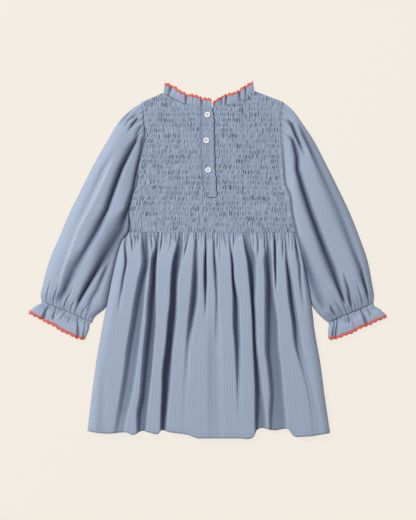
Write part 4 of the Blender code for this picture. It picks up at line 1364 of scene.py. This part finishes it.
@dataclass
class Sleeve:
    """Full sleeve, a flattened tube with its gathers at the head and the cuff."""

    side: Side
    cuff_line: tuple[tuple[float, float], tuple[float, float]]
    top_columns: int = 130
    under_columns: int = 26
    rows: int = 150
    width: float = 95.0
    outer_round: float = 17.0
    inner_round: float = 13.0
    armhole_clear: float = -0.6
    shade_width: float = 2.2
    # the stripe's run on the upper and the under side, and down the sleeve
    over_across: float = 118.0
    under_from: float = 130.0
    under_across: float = 100.0
    along_from: float = 60.0
    along: float = 372.0

    def armhole(self, share: Column) -> tuple[Column, Column]:
        """Points of the armhole seam from the shoulder to the underarm."""
        y = SHOULDER_Y + share * (UNDERARM_Y - SHOULDER_Y)
        return self.side.edge(y) + self.side.sign * self.armhole_clear, y

    def inner_edge(self) -> Table:
        """Inner edge from the underarm down beside the body to the cuff."""
        start_x, start_y = self.armhole(np.array([1.0]))
        y = np.arange(UNDERARM_Y - SIDE_STEP, INNER_EDGE_LEAVES_Y, -SIDE_STEP)
        edge = self.side.edge(y) + self.side.sign * SLEEVE_CLEAR
        points = [(float(start_x[0]), float(start_y[0]))]
        points += [(float(a), float(b)) for a, b in zip(edge, y)]
        return tuple(points) + SLEEVE_INNER_END[self.side]

    def plan(self, s: Column, t: Column) -> tuple[Column, Column]:
        """Plan points: s from the outer to the inner edge, t down from the armhole."""
        first, last = self.armhole(np.zeros(1)), self.armhole(np.ones(1))
        start = (float(first[0][0]), float(first[1][0]))
        outer = path_read((start,) + SLEEVE_OUTER[self.side][1:], t)
        inner = path_read(self.inner_edge(), t)
        head = self.armhole(s)
        (ax, ay), (bx, by) = self.cuff_line
        cuff = (ax + (bx - ax) * s, ay + (by - ay) * s)
        made = []
        for axis in (0, 1):
            across = outer[axis] + (inner[axis] - outer[axis]) * s
            down = head[axis] + (cuff[axis] - head[axis]) * t
            top = first[axis] + (last[axis] - first[axis]) * s
            foot = (ax, ay)[axis] + ((bx, by)[axis] - (ax, ay)[axis]) * s
            made.append(across + down - (top + (foot - top) * t))
        return made[0], made[1]

    def build(self, room: Workroom) -> list[bpy.types.Object]:
        """Make the sleeve."""
        columns = self.top_columns + self.under_columns

        def shape(u: Column, v: Column) -> Laid:
            """Tube from the armhole to the cuff, its under side on the floor."""
            ring = u * columns
            on_top = ring <= self.top_columns + 1e-6
            turn = np.clip(ring / self.top_columns, 0, 1)
            under = np.clip((ring - self.top_columns) / self.under_columns, 0, 1)
            eased = 0.5 - 0.5 * np.cos(np.pi * turn)
            s = np.where(on_top, 0.75 * turn + 0.25 * eased, 1 - under)
            x, y = self.plan(s, v)
            rise = rounded(s * self.width, self.outer_round)
            rise = rise * rounded((1 - s) * self.width, self.inner_round)
            kept = np.ones_like(x)
            for trough in TROUGHS[self.side]:
                kept *= 1 - trough.depth(x, y)
            fine = np.ones_like(x)
            for gathers, away in ((CUFF_GATHERS, 1 - v), (HEAD_GATHERS, v)):
                for place, half, deep, reach in gathers:
                    fade = soft_step((reach - away) / reach)
                    fine *= 1 - deep * fade * bell(s - place, half)
            lift = smooth_read(SLEEVE_LIFT, v)
            low = 0.5 * CLOTH
            top = low + 0.6 + lift * rise * (0.06 + 0.94 * kept * (0.45 + 0.55 * fine))
            z = np.where(on_top, top, low)
            z = np.where((s < 1e-6) | (s > 1 - 1e-6), low + 0.3, z)
            beside = x - self.side.edge(y)
            shade = line_read(BODY_SHADE[self.side], y) * bell(beside, self.shade_width)
            # painted shade in the troughs and gathers and beside the body, painted highlight where a
            # ridge lifts the cloth
            painted_shading = 1 - kept**2 * (0.3 + 0.7 * fine) * (1 - shade)
            painted_shading = np.where(on_top, painted_shading, 0.0)
            below = self.under_from + (1 - s) * self.under_across
            run = np.where(on_top, s * self.over_across, below)
            return Laid(x, y, z, run, self.along_from + (1 - v) * self.along, painted_shading)

        bm = room.lay(columns, self.rows, shape, sewn=True)
        name = f"sleeve_{self.side.value}"
        piece = room.finish(bm, f"{name}_cloth", "chambray", Slot.CHAMBRAY, [name], CLOTH)
        return [piece]


# Cuffs

@dataclass
class Cuff:
    """Elasticated cuff that opens into a frill with a scalloped edging."""

    side: Side
    base: tuple[tuple[float, float], tuple[float, float]]
    edge: tuple[tuple[float, float], tuple[float, float]]
    # share across at the base and the edge, half width, depth, start, end
    pleats: Table
    lift: float = 2.4
    wave: float = 6.0
    bow: float = 3.0
    columns: int = 200
    under_columns: int = 40
    rows: int = 28
    scallop_pitch: float = 8.3
    trim_gap: float = 0.2
    trim_base: float = 2.2
    trim_scallop: float = 3.0
    wall: float = 0.8
    # the stripe's run on the upper and the under side, and down the cuff
    over_across: float = 150.0
    under_from: float = 160.0
    under_across: float = 95.0
    along_from: float = 70.0
    along: float = 26.0

    def plan(self, s: Column, t: Column, reach: Any = 0.0) -> tuple[Column, Column]:
        """Plan points of the cuff, and reach past its edge."""
        (ax, ay), (bx, by) = self.base
        (cx, cy), (dx, dy) = self.edge
        base_x, base_y = ax + (bx - ax) * s, ay + (by - ay) * s
        edge_x, edge_y = cx + (dx - cx) * s, cy + (dy - cy) * s
        away_x, away_y = edge_x - base_x, edge_y - base_y
        length = np.hypot(away_x, away_y)
        uneven = 0.9 * np.sin(9.0 * s + 1.0) + 0.6 * np.sin(23.0 * s + 0.4)
        shift = (self.bow * 4 * s * (1 - s) + uneven) * t + reach
        waist = 1.0 - 0.06 * bell(t - 0.22, 0.2) * soft_step(t * 6)
        middle_x, middle_y = 0.5 * (ax + bx), 0.5 * (ay + by)
        x = base_x + away_x * t + away_x / length * shift
        y = base_y + away_y * t + away_y / length * shift
        return middle_x + (x - middle_x) * waist, middle_y + (y - middle_y) * waist

    def height(self, s: Column, t: Column) -> tuple[Column, Column]:
        """Height and painted shade of the upper side: pinched, then pleated."""
        valley = np.ones_like(s)
        for base, edge, half, deep, start, end in self.pleats:
            line = base + (edge - base) * t
            reach = soft_step((t - start) / 0.15 + 1) * soft_step((end - t) / 0.2 + 1)
            valley *= 1 - 0.9 * deep * reach * bell(s - line, half * (0.9 + 0.7 * t))
        fine = 0.5 + 0.5 * np.cos(2 * np.pi * 21 * s + 3.4 * np.sin(11 * s)) * np.cos(17 * s + 1)
        pinch = bell(t - 0.20 - 0.12 * np.sin(13 * s), 0.17)
        round_off = rounded(np.minimum(s, 1 - s), 0.05)
        open_out = soft_step(0.15 + 1.1 * t)
        height = self.lift + self.wave * open_out * valley - 1.1 * pinch * fine
        height = np.maximum(height, 0.8) * (0.2 + 0.8 * round_off)
        # painted shade in the pleats and the pinched gathers, and along the seam to the sleeve
        painted_shading = 0.8 * (1 - valley * (1 - 0.62 * pinch * fine) * (1 - 0.15 * bell(t, 0.05)))
        return 0.5 * CLOTH + height, painted_shading

    def around(self, u: Column) -> tuple[Column, Column]:
        """Where the tube is uppermost, and the share across at each point."""
        ring = u * (self.columns + self.under_columns)
        on_top = ring <= self.columns + 1e-6
        s = np.where(on_top, ring / self.columns, 1 - (ring - self.columns) / self.under_columns)
        return on_top, np.clip(s, 0.0, 1.0)

    def lay(self, room: Workroom) -> bpy.types.Object:
        """Make the cuff and its frill."""
        columns = self.columns + self.under_columns

        def shape(u: Column, v: Column) -> Laid:
            """Tube from the sleeve to the frill's edge."""
            on_top, s = self.around(u)
            x, y = self.plan(s, v)
            z, painted_shading = self.height(s, v)
            z = np.where(on_top, z, 0.5 * CLOTH)
            below = self.under_from + (1 - s) * self.under_across
            run = np.where(on_top, s * self.over_across, below)
            along = self.along_from - v * self.along
            return Laid(x, y, z, run, along, np.where(on_top, painted_shading, 0.0))

        bm = room.lay(columns, self.rows, shape, sewn=True)
        name = f"cuff_{self.side.value}"
        piece = room.finish(bm, f"{name}_cloth", "chambray", Slot.CHAMBRAY, [name], self.wall)
        return piece

    def trim(self, room: Workroom) -> bpy.types.Object:
        """Make the scalloped edging, which follows the frill's edge."""
        scallops = round(math.dist(*self.edge) / self.scallop_pitch)
        columns = self.columns + self.under_columns

        def shape(u: Column, v: Column) -> Laid:
            """Edging all round the frill."""
            on_top, s = self.around(u)
            petal = petals(s * scallops)
            reach = self.trim_gap + v * (self.trim_base + self.trim_scallop * petal)
            x, y = self.plan(s, np.ones_like(s), reach)
            z, _ = self.height(s, np.ones_like(s))
            plump = 0.5 * np.sin(np.pi * v)
            z = np.where(on_top, z + plump - 0.3 * v, 0.5 * CLOTH)
            return Laid(x, y, z, s * 110.0, v * 5.0, np.zeros_like(s))

        bm = room.lay(columns, 4, shape, sewn=True)
        name = f"cuff_trim_{self.side.value}"
        piece = room.finish(bm, f"{name}_braid", "coral", Slot.CORAL, [name], 0.9)
        return piece

    def build(self, room: Workroom) -> list[bpy.types.Object]:
        """Make the cuff and its edging."""
        return [self.lay(room), self.trim(room)]


# Neck

# base x, base y, top x, top y, from the slit round to the side
FRILL_LEFT = (
    (8.0, 253.3, 7.2, 263.0), (-10, 256.2, -9, 266.5), (-23, 258.0, -22, 270),
    (-38, 260.5, -36, 273), (-53, 268.5, -49, 279), (-63, 274.0, -58, 287),
    (-72, 279.5, -71, 289.5),
)
FRILL_RIGHT = (
    (78, 283, 76, 292), (63, 270, 62, 285), (47, 262.5, 46, 274.5), (27, 258.0, 28, 270.5),
    (18, 256.0, 16, 262.5), (12, 254.5, 12, 260.0), (9.3, 253.4, 9.0, 257.5),
)
# x, depth and half width of each pleat of the frill
NECK_PLEATS = (
    (-61.7, 1.0, 2.1), (-52.0, 0.25, 1.6), (-44.0, 0.15, 1.4), (-34.6, 1.0, 2.3),
    (-23.0, 0.35, 1.5), (-16.0, 0.2, 1.4), (-8.5, 1.0, 2.3), (0.0, 0.35, 1.4), (14.0, 0.3, 1.5),
    (24.8, 0.8, 1.8), (32.0, 1.0, 2.0), (45.0, 0.2, 1.6), (55.0, 1.0, 2.3), (65.0, 0.7, 1.9),
)


@dataclass
class NeckFrill:
    """Pleated frill round the neck with its scalloped edging."""

    under_height: float = 13.0
    under_gap: float = 2.6
    under_draw: float = 0.93
    upper_z: float = 3.4
    under_z: float = 0.6
    wave: float = 4.2
    step: float = 0.55          # from station to station along the base
    turn_steps: int = 10
    rows: int = 14
    scallop_pitch: float = 8.5
    trim_gap: float = 0.2
    trim_base: float = 1.8
    trim_scallop: float = 3.0

    def under_rows(self) -> list[tuple[float, float, float, float]]:
        """Base and top points along the front neckline."""
        made = []
        for x in range(-64, 72, 5):
            base_y = float(front_top(np.array([float(x)]))[0]) + self.under_gap
            made.append((float(x), base_y, x * self.under_draw, base_y + self.under_height))
        return made

    def stretch(self, rows: Table, level: float, pleated: bool) -> list[tuple[float, ...]]:
        """Stations along one stretch: base, top, height and share of the wave."""
        steps = [math.dist(p[:2], q[:2]) for p, q in zip(rows, rows[1:])]
        done = np.concatenate(([0.0], np.cumsum(steps)))
        count = max(round(done[-1] / self.step), 2)
        at = np.linspace(0, done[-1], count + 1)
        columns = [smooth_read([(k, row[i]) for k, row in zip(done, rows)], at) for i in range(4)]
        wave = np.zeros_like(at)
        if pleated:
            columns[1] = back_top(columns[0]) + 0.1
            middle = 0.5 * (columns[0] + columns[2])
            strong = [row[0] for row in NECK_PLEATS if row[1] > 0.65]
            places = np.array([-84.0] + strong + [92.0])
            before = np.clip(np.searchsorted(places, middle) - 1, 0, len(places) - 2)
            along = (middle - places[before]) / (places[before + 1] - places[before])
            wave = 0.62 + 0.38 * np.sin(np.pi * np.clip(along, 0, 1)) ** 0.7
            for place, deep, half in NECK_PLEATS:
                wave = wave * (1 - deep * bell(middle - place, half))
        levels = np.full(at.shape, level)
        return list(zip(*[column.tolist() for column in (*columns, levels, wave)]))

    def turned(self, upper: tuple, under: tuple, toward: float) -> list[tuple[float, ...]]:
        """Stations round a folded side of the frill."""
        middle, radius = 0.5 * (self.upper_z + self.under_z), 0.5 * (self.upper_z - self.under_z)
        made = []
        for step in range(1, self.turn_steps):
            angle = math.pi * step / self.turn_steps
            out = toward * radius * math.sin(angle)
            share = step / self.turn_steps
            base_x, base_y, top_x, top_y = (
                a + (b - a) * share for a, b in zip(upper[:4], under[:4]))
            height = middle + radius * math.cos(angle)
            made.append((base_x + out, base_y, top_x + out, top_y, height, upper[5] * (1 - share)))
        return made

    def stations(self) -> Column:
        """Every station round the neck."""
        left = self.stretch(FRILL_LEFT, self.upper_z, True)
        under = self.stretch(self.under_rows(), self.under_z, False)
        right = self.stretch(FRILL_RIGHT, self.upper_z, True)
        made = left + self.turned(left[-1], under[0], -1.0) + under
        made += list(reversed(self.turned(right[0], under[-1], 1.0))) + right
        return np.array(made)

    def points(self, stations: Column, u: Column, t: Column, reach: Any = 0.0) -> list[Column]:
        """Plan, height and wave of the frill, and reach past its top."""
        at = u * (len(stations) - 1)
        index = np.arange(len(stations))
        base_x, base_y, top_x, top_y, level, wave = (
            np.interp(at, index, stations[:, k]) for k in range(6))
        away_x, away_y = top_x - base_x, top_y - base_y
        length = np.hypot(away_x, away_y)
        lean = 1.2 * (wave - 0.5) * t * (level > 2.0)
        fall = 2.2 * (1 - wave) * np.minimum(t, 1.0) ** 2 * (level > 2.0)
        x = base_x + away_x * t + away_x / length * reach + lean
        y = base_y + away_y * t + away_y / length * reach - fall
        return [x, y, level + self.wave * wave * (0.22 + 0.78 * np.minimum(t, 1.0)), wave]

    def travelled(self, stations: Column) -> Column:
        """Distance along the frill's top at each station."""
        steps = np.hypot(np.diff(stations[:, 2]), np.diff(stations[:, 3]))
        waves = np.diff(stations[:, 5]) * self.wave
        return np.concatenate(([0.0], np.cumsum(np.hypot(steps, waves))))

    def lay(self, room: Workroom) -> bpy.types.Object:
        """Make the frill."""
        stations = self.stations()
        run = self.travelled(stations)

        def shape(u: Column, v: Column) -> Laid:
            """Frill from the neckline up."""
            x, y, z, wave = self.points(stations, u, v)
            z = z - 0.5 * bell(v - 0.12, 0.10)
            across = np.interp(u, np.linspace(0, 1, len(run)), run)
            # painted shade in the pleats, and along the frill's base
            painted_shading = 1.05 * (1 - wave) ** 1.8 * np.where(z > 2.4, 1.0, 0.2)
            painted_shading = painted_shading * (0.6 + 0.4 * v) + 0.35 * bell(v, 0.06)
            return Laid(x, y, z, across, PAST_HEM + v * self.under_height, painted_shading)

        bm = room.lay(len(stations) - 1, self.rows, shape)
        piece = room.finish(bm, "neck_frill_cloth", "chambray", Slot.CHAMBRAY, ["neck_ruffle"], 0.8)
        return piece

    def trim(self, room: Workroom) -> bpy.types.Object:
        """Make the edging along the frill's top."""
        stations = self.stations()
        run = self.travelled(stations)
        pitch = run[-1] / round(run[-1] / self.scallop_pitch)

        def shape(u: Column, v: Column) -> Laid:
            """Edging along the frill's top edge."""
            across = np.interp(u, np.linspace(0, 1, len(run)), run)
            petal = petals(across / pitch)
            reach = self.trim_gap + v * (self.trim_base + self.trim_scallop * petal)
            x, y, z, _ = self.points(stations, u, np.ones_like(u), reach)
            z = z + 0.4 * np.sin(np.pi * v)
            return Laid(x, y, z, across, v * 5.0, np.zeros_like(u))

        bm = room.lay(len(stations) - 1, 4, shape)
        piece = room.finish(bm, "neck_trim_braid", "coral", Slot.CORAL, ["neck_trim"], 0.9)
        return piece

    def build(self, room: Workroom) -> list[bpy.types.Object]:
        """Make the frill and its edging."""
        return [self.lay(room), self.trim(room)]


# Studio

@dataclass
class Studio:
    """Pale floor, soft light from the upper left, and a camera straight above."""

    floor_colour: tuple[float, float, float, float] = (0.904, 0.847, 0.768, 1.0)
    floor_glow: float = 0.93
    floor_size: float = 8.0
    camera_height: float = 3.0
    seen_height: float = 0.8667     # of the floor, in the picture's height
    seen_middle: tuple[float, float] = (1.67, -0.83)
    sensor: float = 36.0
    key_place: tuple[float, float, float] = (-1.9, 1.5, 2.6)
    key_size: float = 0.9
    key_power: float = 118.0
    sky: float = 0.43

    def floor(self) -> bpy.types.Object:
        """Make the floor, which glows evenly so that it stays pale."""
        paint = Paint("floor")
        paint.constants(Base_Color=(0.05, 0.047, 0.042, 1.0), Roughness=1.0,
                        Specular_IOR_Level=0.0, Emission_Color=self.floor_colour,
                        Emission_Strength=self.floor_glow)
        bm = bmesh.new()
        bmesh.ops.create_grid(bm, x_segments=2, y_segments=2, size=0.5 * self.floor_size)
        bmesh.ops.translate(bm, verts=bm.verts, vec=(0, 0, -0.0004))
        mesh = bpy.data.meshes.new("floor")
        bm.to_mesh(mesh)
        bm.free()
        mesh.materials.append(paint.material)
        floor = bpy.data.objects.new("floor", mesh)
        bpy.context.scene.collection.objects.link(floor)
        return floor

    def light(self) -> None:
        """Set the key light and the even light all round."""
        data = bpy.data.lights.new("key", "AREA")
        data.shape = "DISK"
        data.size = self.key_size
        data.energy = self.key_power
        key = bpy.data.objects.new("key", data)
        key.location = self.key_place
        key.rotation_mode = "QUATERNION"
        key.rotation_quaternion = (-Vector(self.key_place)).to_track_quat("-Z", "Y")
        bpy.context.scene.collection.objects.link(key)
        world = bpy.data.worlds.new("studio")
        world.use_nodes = True
        background = world.node_tree.nodes["Background"]
        background.inputs["Color"].default_value = (1.0, 0.99, 0.98, 1.0)
        background.inputs["Strength"].default_value = self.sky
        bpy.context.scene.world = world

    def camera(self, layout: Layout) -> None:
        """Look straight down on the dress as the picture does."""
        data = bpy.data.cameras.new("camera")
        data.sensor_width = self.sensor
        data.lens = self.sensor * self.camera_height / self.seen_height
        camera = bpy.data.objects.new("camera", data)
        camera.location = layout.point(*self.seen_middle, self.camera_height / MM)
        bpy.context.scene.collection.objects.link(camera)
        bpy.context.scene.camera = camera

    def build(self, layout: Layout) -> None:
        """Set up everything round the dress."""
        self.floor()
        self.light()
        self.camera(layout)
        bpy.context.scene.view_settings.view_transform = "Standard"


def finishes() -> dict[str, bpy.types.Material]:
    """Every material of the dress by name."""
    made = (
        ChambrayFinish("chambray"),
        # darker copy of the chambray: painted shade of the smocking, with a fainter stripe and no hem
        # line
        ChambrayFinish("smocked", (0.365, 0.425, 0.525, 1.0), (0.225, 0.280, 0.378, 1.0),
                       hem_line=-1.0, stripe_share=0.2),
        CoralFinish("coral"),
        ButtonFinish("button"),
        ThreadFinish("blue_thread", (0.40, 0.47, 0.58, 1.0), (0.22, 0.29, 0.40, 1.0)),
        ThreadFinish("grey_thread", (0.24, 0.24, 0.26, 1.0), (0.12, 0.12, 0.14, 1.0)),
    )
    return {finish.name: finish.material() for finish in made}


def cuffs() -> list[Cuff]:
    """Both cuffs, with the pleats that each one shows."""
    return [
        Cuff(Side.LEFT, ((-275, -69), (-191, -104)), ((-293.5, -84), (-202.5, -130.5)), (
            (0.13, 0.26, 0.020, 0.9, 0, 1), (0.28, 0.42, 0.016, 0.7, 0, 0.7),
            (0.38, 0.40, 0.012, 0.4, 0, 0.35), (0.48, 0.50, 0.014, 0.5, 0, 0.5),
            (0.60, 0.66, 0.012, 0.45, 0, 0.45), (0.73, 0.89, 0.018, 0.8, 0.1, 1),
            (0.90, 0.97, 0.014, 0.5, 0.2, 1))),
        Cuff(Side.RIGHT, ((277, -73), (201, -104)), ((296, -90.5), (202.5, -130)), (
            (0.14, 0.24, 0.014, 0.6, 0, 0.6), (0.28, 0.34, 0.018, 0.9, 0, 1),
            (0.42, 0.44, 0.012, 0.4, 0, 0.35), (0.50, 0.54, 0.02, 0.25, 0.4, 1),
            (0.57, 0.60, 0.02, 0.85, 0, 0.45), (0.64, 0.66, 0.012, 0.4, 0, 0.4),
            (0.80, 0.88, 0.018, 0.8, 0, 1), (0.87, 0.93, 0.014, 0.7, 0, 0.9))),
    ]


def main() -> None:
    """Build the dress round the fixed frame."""
    logging.basicConfig(level=logging.INFO, format="%(message)s")
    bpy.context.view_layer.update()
    layout = Layout.from_frame()
    room = Workroom(layout, finishes())
    Studio().build(layout)
    bodice = Bodice()
    pieces = Skirt().build(room) + bodice.build(room) + Placket(bodice).build(room)
    for cuff in cuffs():
        pieces += Sleeve(cuff.side, cuff.base).build(room)
        pieces += cuff.build(room)
    pieces += NeckFrill().build(room)
    LOG.info("%d pieces", len(pieces))
    bpy.context.view_layer.update()


if __name__ == "__main__":
    main()
